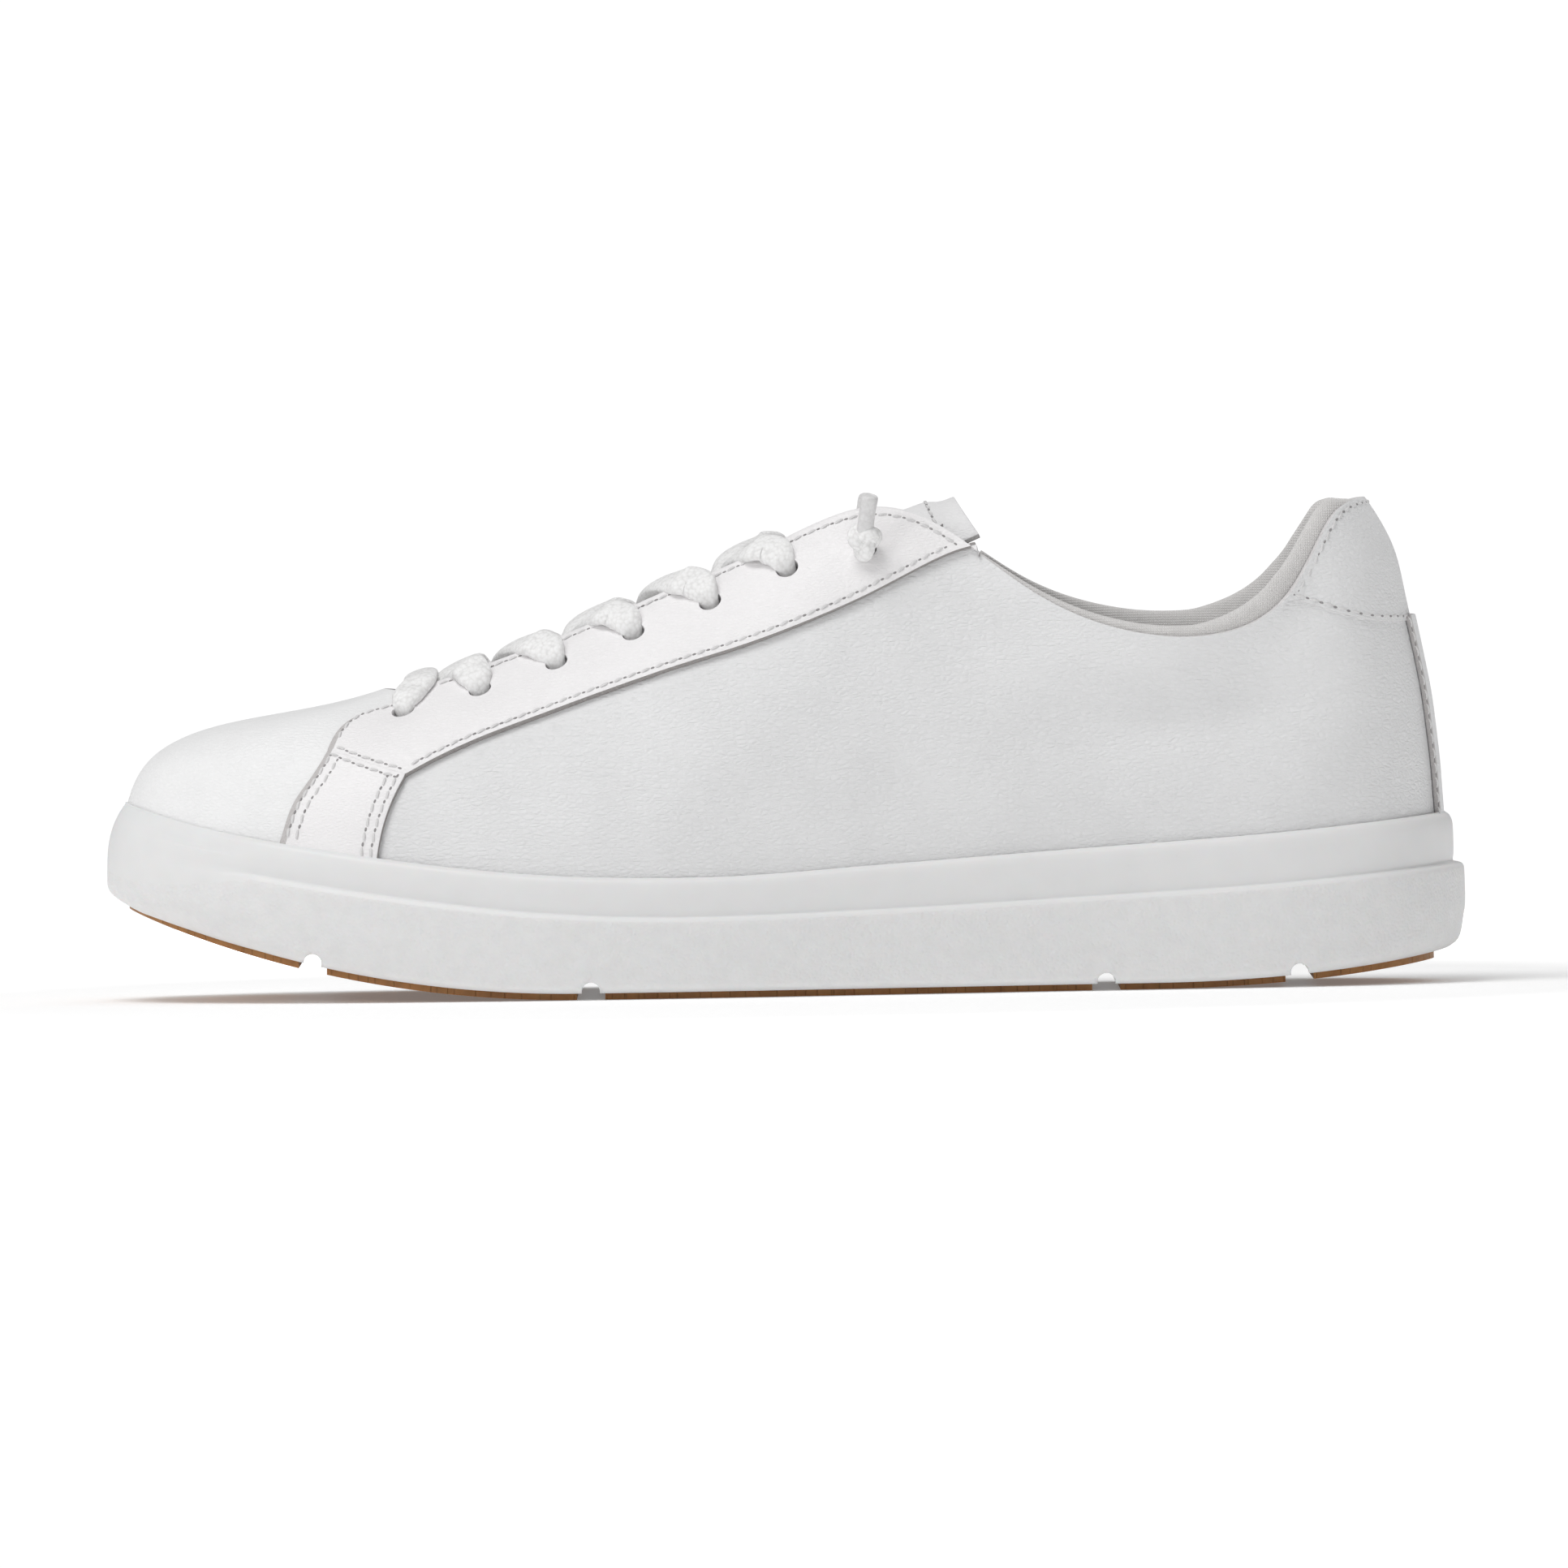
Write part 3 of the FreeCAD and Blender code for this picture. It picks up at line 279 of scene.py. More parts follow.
def seen_at(line, side, depth=0.0):
    """(t, s) where the layer at a depth is seen at each (x, z) of one side's view."""
    xz = np.array(line, float)
    t, s = np.meshgrid(np.arange(0, TOE + 0.01, 0.1), np.linspace(-0.1, 1.1, 61), indexing="ij")
    t = (t if side == LATERAL else TURNS - t).ravel()
    s = s.ravel()

    def seen(t, s):
        return (form(t, s) + normal(t, s) * depth)[..., [0, 2]]

    near = ((xz[:, None] - seen(t, s)[None]) ** 2).sum(-1).argmin(1)
    t, s = t[near], s[near]
    step = 1e-3
    for _ in range(14):
        p = seen(t, s)
        by_t, by_s = (seen(t + step, s) - p) / step, (seen(t, s + step) - p) / step
        miss = xz - p
        scale = by_t[:, 0] * by_s[:, 1] - by_t[:, 1] * by_s[:, 0]
        scale = np.where(np.abs(scale) < 1e-6, 1e-6, scale)
        t = t + np.clip((miss[:, 0] * by_s[:, 1] - miss[:, 1] * by_s[:, 0]) / scale, -0.3, 0.3)
        s = s + np.clip((by_t[:, 0] * miss[:, 1] - by_t[:, 1] * miss[:, 0]) / scale, -0.08, 0.08)
    return np.stack([t, s], -1)


def share_below(t, line, lift=0.0):
    """Share of each rib where it meets a side-view line."""
    t = np.asarray(t, float)
    low, high = np.full(t.shape, -0.3), np.full(t.shape, 1.0)
    for _ in range(30):
        middle = (low + high) / 2
        p = form(t, middle)
        under = p[..., 2] < height(line, p[..., 0]) + lift
        low, high = np.where(under, middle, low), np.where(under, high, middle)
    return (low + high) / 2


def coons(bottom, top, left, right):
    """Grid of (t, s) between four border curves of matching ends."""
    m, n = len(bottom), len(left)
    u, v = np.linspace(0, 1, m)[:, None, None], np.linspace(0, 1, n)[None, :, None]
    return ((1 - v) * bottom[:, None] + v * top[:, None] + (1 - u) * left[None] + u * right[None]
            - (1 - u) * (1 - v) * bottom[0] - u * (1 - v) * bottom[-1] - (1 - u) * v * top[0] - u * v * top[-1])


# ---------------------------------------------------------------- eyelets
def eyelet_spot(side, index):
    """(t, s) of the centre of one eyelet, counted from the top one at 0."""
    target = EYELET_TOP_X - EYELET_PITCH * index
    margin = EYELET_MARGIN + (1.6 if index == EYELETS - 1 else 0)
    low, high = 7.0, 13.5
    for _ in range(24):
        t = (low + high) / 2
        s_low, s_high = 0.5, 1.0
        for _ in range(24):
            s = (s_low + s_high) / 2
            if np.linalg.norm(form(t, s) - form(t, 1)) > margin:
                s_low = s
            else:
                s_high = s
        if form(t, s)[0] > target:
            low = t
        else:
            high = t
    return (t if side == LATERAL else TURNS - t), s


SPOTS = {(side, index): eyelet_spot(side, index) for _, side in SIDES for index in range(EYELETS)}
for (side, index), (t, s) in SPOTS.items():
    DENTS.append((form(t, s), 3.6, 0.55 if index else 0.3))
    if index:
        DENTS.append((form(t - side * 0.25, 0.95), 4.0, 0.5))

# ---------------------------------------------------------------- materials
MATERIALS = {}


class Shader:
    """A principled material with helpers for its procedural nodes. Coordinates are millimetres."""

    def __init__(self, name, **sockets):
        self.material = bpy.data.materials.new(name)
        self.material.use_nodes = True
        self.tree = self.material.node_tree
        self.base = self.tree.nodes["Principled BSDF"]
        for socket, value in sockets.items():
            self.base.inputs[socket.replace("_", " ")].default_value = value
        place, scale = self.add("TexCoord"), self.add("Mapping", Scale=(1000, 1000, 1000))
        self.link(place.outputs["Object"], scale.inputs["Vector"])
        self.space = scale.outputs["Vector"]
        self.bumps = None
        MATERIALS[name] = self.material

    def link(self, a, b):
        self.tree.links.new(a, b)

    def add(self, kind, **sockets):
        """A new node with constants on its sockets."""
        node = self.tree.nodes.new("ShaderNode" + kind)
        for socket, value in sockets.items():
            node.inputs[socket.replace("_", " ")].default_value = value
        return node

    def texture(self, node, space, output="Fac"):
        self.link(space or self.space, node.inputs["Vector"])
        return node.outputs[output]

    def stretched(self, x, y, z):
        return self.texture(self.add("Mapping", Scale=(x, y, z)), None, "Vector")

    def noise(self, scale, detail=2.0, rough=0.5, space=None, distortion=0.0):
        return self.texture(self.add("TexNoise", Scale=scale, Detail=detail, Roughness=rough,
                                     Distortion=distortion), space)

    def cells(self, scale, feature="DISTANCE_TO_EDGE", space=None):
        node = self.add("TexVoronoi", Scale=scale)
        node.feature = feature
        return self.texture(node, space, "Distance")

    def waves(self, scale, direction, space=None, distortion=0.0):
        node = self.add("TexWave", Scale=scale, Distortion=distortion)
        node.bands_direction = direction
        return self.texture(node, space)

    def math(self, kind, a, b):
        node = self.add("Math")
        node.operation = kind
        for socket, value in zip(node.inputs, (a, b)):
            if isinstance(value, (int, float)):
                socket.default_value = value
            else:
                self.link(value, socket)
        return node.outputs[0]

    def ramp(self, value, *stops):
        node = self.add("ValToRGB")
        points = node.color_ramp.elements
        while len(points) < len(stops):
            points.new(0.5)
        for point, (at, colour) in zip(points, stops):
            point.position = at
            point.color = (*colour, 1)
        self.link(value, node.inputs["Fac"])
        return node.outputs["Color"]

    def bump(self, value, distance, strength):
        """Adds a bump of a distance in millimetres on top of the ones before it."""
        node = self.add("Bump", Strength=strength, Distance=distance * MM)
        self.link(value, node.inputs["Height"])
        if self.bumps is not None:
            self.link(self.bumps, node.inputs["Normal"])
        self.bumps = node.outputs["Normal"]
        self.link(self.bumps, self.base.inputs["Normal"])

    def colour(self, value):
        self.link(value, self.base.inputs["Base Color"])

    def roughness(self, value, low, high):
        node = self.add("MapRange", To_Min=low, To_Max=high)
        self.link(value, node.inputs["Value"])
        self.link(node.outputs["Result"], self.base.inputs["Roughness"])


def shade(colour, factor):
    return tuple(min(1.0, channel * factor) for channel in colour)


def leather(name, colour, grain, depth, rough, creases):
    """Coated leather: small pebbles, finer pores, long shallow creases and a little unevenness in its white."""
    m = Shader(name, Specular_IOR_Level=0.42, Sheen_Weight=0.06, Sheen_Roughness=0.5)
    flow = m.stretched(0.62, 0.8, 1.25)
    pebble = m.ramp(m.cells(grain, space=flow), (0.0, (0, 0, 0)), (0.32, (1, 1, 1)))
    pores = m.noise(4.5, 3.0, 0.6)
    m.bump(m.noise(0.12, 2.0, 0.5), 0.5, 0.35)
    folds = m.noise(0.55, 3.0, 0.55, m.stretched(0.22, 0.4, 1.5), 0.8)
    m.bump(m.ramp(folds, (0.38, (0, 0, 0)), (0.5, (1, 1, 1)), (0.62, (0.35, 0.35, 0.35))), creases, 0.5)
    m.bump(pebble, depth * 2.2, 0.6)
    m.bump(pores, depth * 1.5, 0.55)
    tone = m.math("ADD", m.math("MULTIPLY", m.noise(0.045, 3.0, 0.6), 0.75), m.math("MULTIPLY", pebble, 0.12))
    m.colour(m.ramp(tone, (0.2, shade(colour, 0.945)), (0.5, colour), (0.75, shade(colour, 1.02))))
    m.roughness(m.noise(0.5, 3.0, 0.6), rough - 0.06, rough + 0.08)


def mottled(name, sockets, tone, low, high, bump, rough):
    """Plain material, slightly uneven in colour, height and gloss. tone, bump and rough start with the settings
    of their noise."""
    m = Shader(name, **sockets)
    m.colour(m.ramp(m.noise(*tone), (0.3, low), (0.7, high)))
    if bump:
        m.bump(m.noise(*bump[0]), *bump[1:])
    if rough:
        m.roughness(m.noise(*rough[0]), *rough[1:])


def make_materials():
    # Copies of one white leather: painted shade makes the quarter (upper) and heel patch darker, and painted light
    # makes the vamp over the toe's top lighter.
    # Colour, grain, depth of the grain, roughness, depth of the creases.
    for name, *look in (("upper", (0.815, 0.815, 0.82), 0.85, 0.07, 0.46, 0.10),
                        ("vamp", (0.91, 0.91, 0.912), 0.95, 0.05, 0.42, 0.05),
                        ("eyestay", (0.91, 0.895, 0.9), 1.15, 0.045, 0.44, 0.03),
                        ("heel", (0.82, 0.82, 0.825), 0.85, 0.07, 0.47, 0.07),
                        ("tongue", (0.85, 0.845, 0.85), 1.0, 0.05, 0.46, 0.06)):
        leather(name + "_leather", *look)

    m = Shader("cut_edge", Roughness=0.85)       # raw edge of the overlays
    fibre = m.noise(3.2, 4.0, 0.7, m.stretched(0.5, 0.5, 1.6))
    m.colour(m.ramp(fibre, (0.3, (0.27, 0.25, 0.245)), (0.7, (0.46, 0.44, 0.43))))
    m.bump(fibre, 0.25, 0.9)

    m = Shader("skived_edge", Roughness=0.8)     # thinned front edge of the eyestay and strap
    fibre = m.noise(2.4, 4.0, 0.7)
    m.colour(m.ramp(fibre, (0.3, (0.50, 0.475, 0.47)), (0.7, (0.64, 0.62, 0.615))))
    m.bump(fibre, 0.2, 0.8)

    # Turned or painted edge of the base leather, and other plain parts.
    mottled("edge_paint", {"Roughness": 0.6}, (1.1, 3.0), (0.62, 0.6, 0.6), (0.74, 0.73, 0.73),
            ((4.0, 2.0), 0.08, 0.6), None)
    mottled("lace_tip", {"Specular_IOR_Level": 0.5, "Coat_Weight": 0.25, "Coat_Roughness": 0.25}, (1.2, 3.0),
            (0.66, 0.65, 0.65), (0.78, 0.775, 0.775), ((2.5, 2.0), 0.06, 0.5), ((1.5,), 0.32, 0.45))
    # Painted shade: the dark grey of the ovals laid over the needle holes.
    mottled("needle_hole_shade", {"Specular_IOR_Level": 0.1}, (2.0,), (0.27, 0.26, 0.26), (0.38, 0.37, 0.37),
            None, ((3.0,), 0.8, 0.95))
    mottled("stiffener", {"Specular_IOR_Level": 0.3}, (0.8, 4.0, 0.7), (0.45, 0.42, 0.38), (0.58, 0.55, 0.5),
            ((2.5, 4.0, 0.7), 0.2, 0.6), ((1.0,), 0.75, 0.9))
    mottled("board", {"Specular_IOR_Level": 0.2}, (1.4, 4.0, 0.7), (0.55, 0.52, 0.46), (0.7, 0.68, 0.62),
            ((2.0, 4.0, 0.7), 0.15, 0.6), ((1.0,), 0.8, 0.95))

    m = Shader("cup_rubber", Specular_IOR_Level=0.45, Subsurface_Weight=0.08, Subsurface_Scale=0.004)
    speck = m.ramp(m.cells(0.16, "F1"), (0.0, (0.74, 0.73, 0.72)), (0.035, (0.79, 0.79, 0.79)),
                   (1.0, (0.81, 0.81, 0.81)))
    m.colour(speck)
    m.bump(m.noise(0.35, 3.0, 0.6), 0.14, 0.35)
    m.bump(m.noise(7.0, 2.0, 0.5), 0.02, 0.35)
    m.roughness(m.noise(0.4, 2.0), 0.40, 0.52)

    m = Shader("cup_pebbled", Specular_IOR_Level=0.45, Subsurface_Weight=0.08, Subsurface_Scale=0.004)
    m.colour(m.ramp(m.noise(0.3, 2.0), (0.3, (0.78, 0.78, 0.78)), (0.7, (0.81, 0.81, 0.81))))
    m.bump(m.ramp(m.cells(1.5, "SMOOTH_F1"), (0.1, (1, 1, 1)), (0.75, (0, 0, 0))), 0.16, 0.6)
    m.bump(m.noise(2.4, 3.0, 0.6), 0.08, 0.5)
    m.roughness(m.noise(1.0, 2.0), 0.5, 0.62)

    m = Shader("gum_rubber", Specular_IOR_Level=0.5, Subsurface_Weight=0.15, Subsurface_Scale=0.003)
    m.colour(m.ramp(m.noise(0.2, 3.0, 0.6), (0.3, (0.29, 0.125, 0.032)), (0.7, (0.39, 0.18, 0.05))))
    tread = m.math("MAXIMUM", m.waves(0.09, "DIAGONAL", m.stretched(1, 1, 0)),
                   m.waves(0.09, "DIAGONAL", m.stretched(1, -1, 0)))
    m.bump(m.ramp(tread, (0.62, (0, 0, 0)), (0.72, (1, 1, 1))), 0.5, 0.8)
    m.bump(m.noise(2.0, 3.0, 0.6), 0.1, 0.5)
    m.roughness(m.noise(0.7, 2.0), 0.42, 0.56)

    m = Shader("lining_cloth", Sheen_Weight=0.35, Sheen_Roughness=0.4, Specular_IOR_Level=0.2)
    knit = m.math("MULTIPLY", m.waves(0.62, "X", distortion=0.6), m.waves(0.55, "Z", distortion=0.6))
    m.colour(m.ramp(m.math("ADD", m.math("MULTIPLY", knit, 0.5), m.math("MULTIPLY", m.noise(0.25, 3.0), 0.5)),
                    (0.1, (0.66, 0.645, 0.635)), (0.6, (0.80, 0.785, 0.775))))
    m.bump(knit, 0.18, 0.7)
    m.bump(m.noise(3.5, 4.0, 0.7), 0.14, 0.6)
    m.roughness(m.noise(2.0, 2.0), 0.82, 0.95)

    m = Shader("footbed_cloth", Sheen_Weight=0.3, Specular_IOR_Level=0.2)
    twill = m.waves(0.5, "DIAGONAL")
    m.colour(m.ramp(m.math("ADD", m.math("MULTIPLY", twill, 0.35), m.math("MULTIPLY", m.noise(0.2, 4.0), 0.65)),
                    (0.25, (0.60, 0.585, 0.57)), (0.7, (0.74, 0.73, 0.715))))
    m.bump(twill, 0.15, 0.7)
    m.bump(m.noise(3.0, 3.0), 0.1, 0.5)
    m.roughness(m.noise(1.5, 2.0), 0.8, 0.95)

    m = Shader("footbed_foam", Specular_IOR_Level=0.25)
    m.colour(m.ramp(m.cells(1.4), (0.0, (0.42, 0.42, 0.43)), (0.2, (0.62, 0.62, 0.63))))
    m.bump(m.cells(1.4), 0.3, 0.7)
    m.roughness(m.noise(1.0), 0.85, 0.95)

    m = Shader("lace_cord", Sheen_Weight=0.45, Sheen_Roughness=0.3, Specular_IOR_Level=0.35)
    strands = m.cells(1.1, "F1")
    m.colour(m.ramp(strands, (0.15, (0.96, 0.96, 0.96)), (0.5, (0.92, 0.915, 0.91)), (0.9, (0.79, 0.785, 0.78))))
    m.bump(m.ramp(strands, (0.1, (1, 1, 1)), (0.8, (0, 0, 0))), 0.2, 0.6)
    m.bump(m.noise(5.5, 3.0, 0.7), 0.09, 0.6)
    m.roughness(m.noise(3.0), 0.5, 0.68)

    m = Shader("thread", Sheen_Weight=0.2, Specular_IOR_Level=0.4)
    ply = m.waves(1.6, "DIAGONAL")
    m.colour(m.ramp(ply, (0.2, (0.7, 0.69, 0.69)), (0.8, (0.83, 0.825, 0.825))))
    m.bump(ply, 0.08, 0.6)
    m.roughness(m.noise(3.0), 0.5, 0.65)

    m = Shader("backing_tape", Specular_IOR_Level=0.2)
    weave = m.math("MULTIPLY", m.waves(0.5, "X"), m.waves(0.5, "Z"))
    m.colour(m.ramp(weave, (0.2, (0.5, 0.49, 0.48)), (0.7, (0.66, 0.65, 0.64))))
    m.bump(weave, 0.15, 0.6)
    m.roughness(m.noise(1.0), 0.8, 0.95)

    m = Shader("floor", Roughness=0.9, Specular_IOR_Level=0.0, Emission_Color=(1, 1, 1, 1))
    reach = m.add("VectorMath")                  # the floor fades into the white round it
    reach.operation = "LENGTH"
    m.link(m.space, reach.inputs[0])
    glow = m.add("MapRange", From_Min=190.0, From_Max=420.0, To_Min=0.13, To_Max=1.0)
    m.link(reach.outputs["Value"], glow.inputs["Value"])
    m.link(glow.outputs["Result"], m.base.inputs["Emission Strength"])
    m.colour(m.ramp(m.noise(0.001), (0.0, (0.96, 0.96, 0.96)), (1.0, (0.99, 0.99, 0.99))))


make_materials()


# ---------------------------------------------------------------- mesh helpers
def new_object(name, verts, faces, materials=(), body="shoe", slots=None, joined=2e-6, outward=True):
    """Smooth mesh object from vertices in millimetres, riding on a body. slots gives each face's material."""
    mesh = bpy.data.meshes.new(name)
    mesh.from_pydata((np.asarray(verts) * MM).tolist(), [], [list(map(int, face)) for face in faces])
    for material in materials:
        mesh.materials.append(MATERIALS[material])
    if slots is not None:
        mesh.polygons.foreach_set("material_index", np.asarray(slots, np.int32))
    if outward:
        work = bmesh.new()
        work.from_mesh(mesh)
        if joined:
            bmesh.ops.remove_doubles(work, verts=work.verts, dist=joined)
        bmesh.ops.recalc_face_normals(work, faces=work.faces)
        work.to_mesh(mesh)
        work.free()
    mesh.polygons.foreach_set("use_smooth", [True] * len(mesh.polygons))
    obj = bpy.data.objects.new(name, mesh)
    scene.collection.objects.link(obj)
    if body:
        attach(obj, body)
    return obj


def standing_for(obj, slot, *nodes):
    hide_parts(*nodes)
    return obj


def circle(count):
    return 2 * math.pi * np.arange(count) / count


def tube_faces(m, n, start=0):
    """Quads between m rings of n points each, and a cap on each end."""
    i, j = (index.ravel() for index in np.meshgrid(np.arange(m - 1), np.arange(n), indexing="ij"))
    k = (j + 1) % n
    faces = (np.stack([i * n + j, i * n + k, (i + 1) * n + k, (i + 1) * n + j], -1) + start).tolist()
    return faces + [[start + q for q in range(n)][::-1], [start + (m - 1) * n + q for q in range(n)]]


def grid_faces(m, n, start=0, wrap=False):
    """Quads of an m by n grid of vertices, closed in its first direction where wrap is set."""
    i, j = np.meshgrid(np.arange(m if wrap else m - 1), np.arange(n - 1), indexing="ij")
    i, j = i.ravel(), j.ravel()
    k = (i + 1) % m
    return np.stack([i * n + j, k * n + j, k * n + j + 1, i * n + j + 1], -1) + start


def slab_mesh(outer, inner):
    """Vertices, faces and material slots of a sheet between two grids of points: 0 on its faces, 1 on its
    edges."""
    m, n = outer.shape[:2]
    count = m * n
    verts = np.concatenate([outer.reshape(-1, 3), inner.reshape(-1, 3)])
    faces = [grid_faces(m, n), grid_faces(m, n, count)[:, ::-1]]
    rim = np.concatenate([np.arange(m) * n, (m - 1) * n + np.arange(1, n), np.arange(m - 2, -1, -1) * n + n - 1,
                          np.arange(n - 2, 0, -1)])
    after = np.roll(rim, -1)
    edges = np.stack([rim, rim + count, after + count, after], -1)
    slots = np.zeros(2 * len(faces[0]) + len(edges), int)
    slots[2 * len(faces[0]):] = 1
    return verts, np.concatenate(faces + [edges]), slots


def modified(obj, *cutters, bevel=None, segments=2):
    """Cuts obj with other objects, rounds its sharp edges, and keeps the result as its mesh."""
    for cutter in cutters:
        boolean = obj.modifiers.new("cut", "BOOLEAN")
        boolean.operation, boolean.solver, boolean.object = "DIFFERENCE", "EXACT", cutter
    if bevel:
        rounded = obj.modifiers.new("round", "BEVEL")
        rounded.width, rounded.segments = bevel * MM, segments
        rounded.limit_method, rounded.angle_limit = "ANGLE", math.radians(48)
        rounded.use_clamp_overlap = True
    bpy.context.view_layer.update()
    evaluated = obj.evaluated_get(bpy.context.evaluated_depsgraph_get())
    mesh = bpy.data.meshes.new_from_object(evaluated)
    obj.modifiers.clear()
    obj.data = mesh
    mesh.polygons.foreach_set("use_smooth", [True] * len(mesh.polygons))


def sheet_piece(name, grid, depths, material, slot=None, edge="edge_paint", cutters=(), bevel=0.3, skived=0,
                joined=()):
    """A layer of the upper over a grid of (t, s), between two depths. Its first columns can be skived thin,
    and the edge faces numbered in joined, where another piece meets it, are plain leather."""
    t, s = grid[..., 0], grid[..., 1]
    outer = np.full(t.shape, float(depths[0]))
    taper = np.linspace(0.22, 1, skived + 1)[:-1, None]
    outer[:skived] = depths[1] + (depths[0] - depths[1]) * taper
    verts, faces, slots = slab_mesh(off(t, s, outer), off(t, s, depths[1]))
    slots[:skived * (t.shape[1] - 1)] = 2
    slots[len(slots) - 2 * (t.shape[0] + t.shape[1] - 2) + np.array(joined, int)] = 0
    obj = new_object(name, verts, faces, [material, edge, "skived_edge"][:3 if skived else 2], slots=slots)
    modified(obj, *cutters, bevel=bevel)
    standing_for(obj, slot or material, name)


def tube_cutter(name, ends, radius):
    """One object of straight round bars, to cut holes with."""
    verts, faces, around = [], [], 20
    for a, b in ends:
        axis = unit(np.array(b, float) - np.array(a, float))
        side = unit(np.cross(axis, (0.31, 0.52, 0.8)))
        other = np.cross(axis, side)
        faces += tube_faces(2, around, len(verts))
        verts += [np.array(end, float) + radius * (side * math.cos(turn) + other * math.sin(turn))
                  for end in (a, b) for turn in circle(around)]
    return new_object(name, verts, faces, body=None, joined=None)


EYELET_CUTTERS = {side: tube_cutter(f"eyelet_cutter_{word}", [
    (off(*SPOTS[side, i], -5.5), off(*SPOTS[side, i], 5.0)) for i in range(EYELETS)], EYELET_RADIUS)
    for word, side in SIDES}


# ---------------------------------------------------------------- stitching
STITCH_PITCH, STITCH_LENGTH = 3.2, 2.35
STITCH_HALF_WIDTH, STITCH_RISE, STITCH_SLANT = 0.3, 0.17, 0.18


def even(points, pitch):
    """Points at a pitch along a dense run of points, and the direction there."""
    d = length_at(points)
    count = max(2, int(d[-1] / pitch))
    at = (np.arange(count) + 0.5) * d[-1] / count
    ahead, behind = along(at + 0.4, d, points), along(at - 0.4, d, points)
    return along(at, d, points), unit(ahead - behind), at / d[-1], d[-1] / count


def stitch_shape():
    """Thread of one stitch along X, its ends dipping into the leather."""
    around = 8
    rings = [(-1.0, 0.25, -0.25), (-0.86, 0.7, -0.06), (-0.55, 1.0, 0.1), (0.0, 1.06, 0.16), (0.55, 1.0, 0.1),
             (0.86, 0.7, -0.06), (1.0, 0.25, -0.25)]
    verts = [(ahead * STITCH_LENGTH / 2, STITCH_HALF_WIDTH * size * math.cos(turn),
              rise + STITCH_RISE * size * math.sin(turn)) for ahead, size, rise in rings for turn in circle(around)]
    return np.array(verts), tube_faces(len(rings), around)


def hole_shade_shape():
    """Dark oval of painted shade where the needle went through, lying on the leather."""
    around = 10
    verts = [(0, 0, 0.075)] + [(0.52 * size * math.cos(turn), 0.29 * size * math.sin(turn), rise)
                               for size, rise in ((0.72, 0.055), (1.0, -0.08)) for turn in circle(around)]
    sides = [[1 + index for index in face[::-1]] for face in tube_faces(2, around)]
    return np.array(verts), [[0, 1 + k, 1 + (k + 1) % around] for k in range(around)] + sides[:around] + sides[-1:]


STITCH, HOLE_SHADE = stitch_shape(), hole_shade_shape()


def stitching(name, rows, body="shoe"):
    """One object of stitches along rows of (points, normals), each a dense run in millimetres."""
    verts, faces, slots = [], [], []
    start = 0
    for points, normals, slant in rows:
        spots, headings, share, pitch = even(points, STITCH_PITCH)
        ups = along(share, np.linspace(0, 1, len(normals)), normals)
        ups = unit(ups - headings * (ups * headings).sum(-1, keepdims=True))
        for spot, heading, up in zip(spots, headings, ups):
            across = np.cross(up, heading)
            turned = unit(heading + across * slant)
            crossed = np.cross(up, turned)
            # Each stitch, then a dark oval of painted shade over its needle hole.
            for (shape, shape_faces), slot_index, centre, basis in (
                    (STITCH, 0, spot, (turned, crossed, up)),
                    (HOLE_SHADE, 1, spot + heading * pitch / 2, (heading, across, up))):
                verts.append(centre + shape @ np.array(basis))
                faces += [[start + v for v in face] for face in shape_faces]
                slots += [slot_index] * len(shape_faces)
                start += len(shape)
    obj = new_object(name, np.concatenate(verts), faces, ["thread", "needle_hole_shade"], body, slots, outward=False)


def row(curve, out, inset):
    """Row of stitches beside a curve of (t, s), moved to its left by inset."""
    p = off(curve[:, 0], curve[:, 1], out)
    n = normal(curve[:, 0], curve[:, 1])
    ahead = unit(np.gradient(p, axis=0))
    left = unit(np.cross(ahead, n))
    return p + left * inset, n, STITCH_SLANT


# ---------------------------------------------------------------- upper
def side_turns(t, side):
    return t if side == LATERAL else TURNS - t


COLLAR_CORNER = 3.02          # rib number where the heel patch's seam meets the top line
TUCKED = -5.0                 # how far the leather runs down inside the cup
EYESTAY_GRID, STRAP_GRID = (170, 22), (26, 30)


def top_run(m, n):
    """Numbers of the edge faces along the last row of an m by n sheet."""
    return range(m + n - 2, 2 * m + n - 3)


def ribbon(turns, low, high, count):
    """Grid of (t, s) with straight columns between two shares at each rib number."""
    shares = low[:, None] + (high - low)[:, None] * np.linspace(0, 1, count)[None]
    return np.stack([np.repeat(turns[:, None], count, 1), shares], -1)


def upper_edges(side):
    """The outlines on one side as runs of (t, s)."""
    face = OVERLAY[0]
    lower = seen_at(through(EYESTAY_LOWER, 150), side, face)
    front = seen_at(through(EYESTAY_FRONT, 30), side, face)
    strap_front = seen_at(through(STRAP_FRONT, 40), side, face)
    strap_rear = seen_at(through(STRAP_REAR, 40), side, face)
    vamp = seen_at(through(VAMP_SEAM, 50), side)
    vamp = vamp[vamp[:, 1] < 0.995]
    end = vamp[-1].copy()
    end[1] = 1.0
    return lower, front, strap_front, strap_rear, np.vstack([vamp, end])


def spread(curve, count):
    """The curve of (t, s) again with evenly spaced points."""
    p = form(curve[:, 0], curve[:, 1])
    d = length_at(p)
    at = np.linspace(0, d[-1], count)
    return along(at, d, curve)


def straight(a, b, count):
    return np.array(a) + (np.array(b) - np.array(a)) * np.linspace(0, 1, count)[:, None]


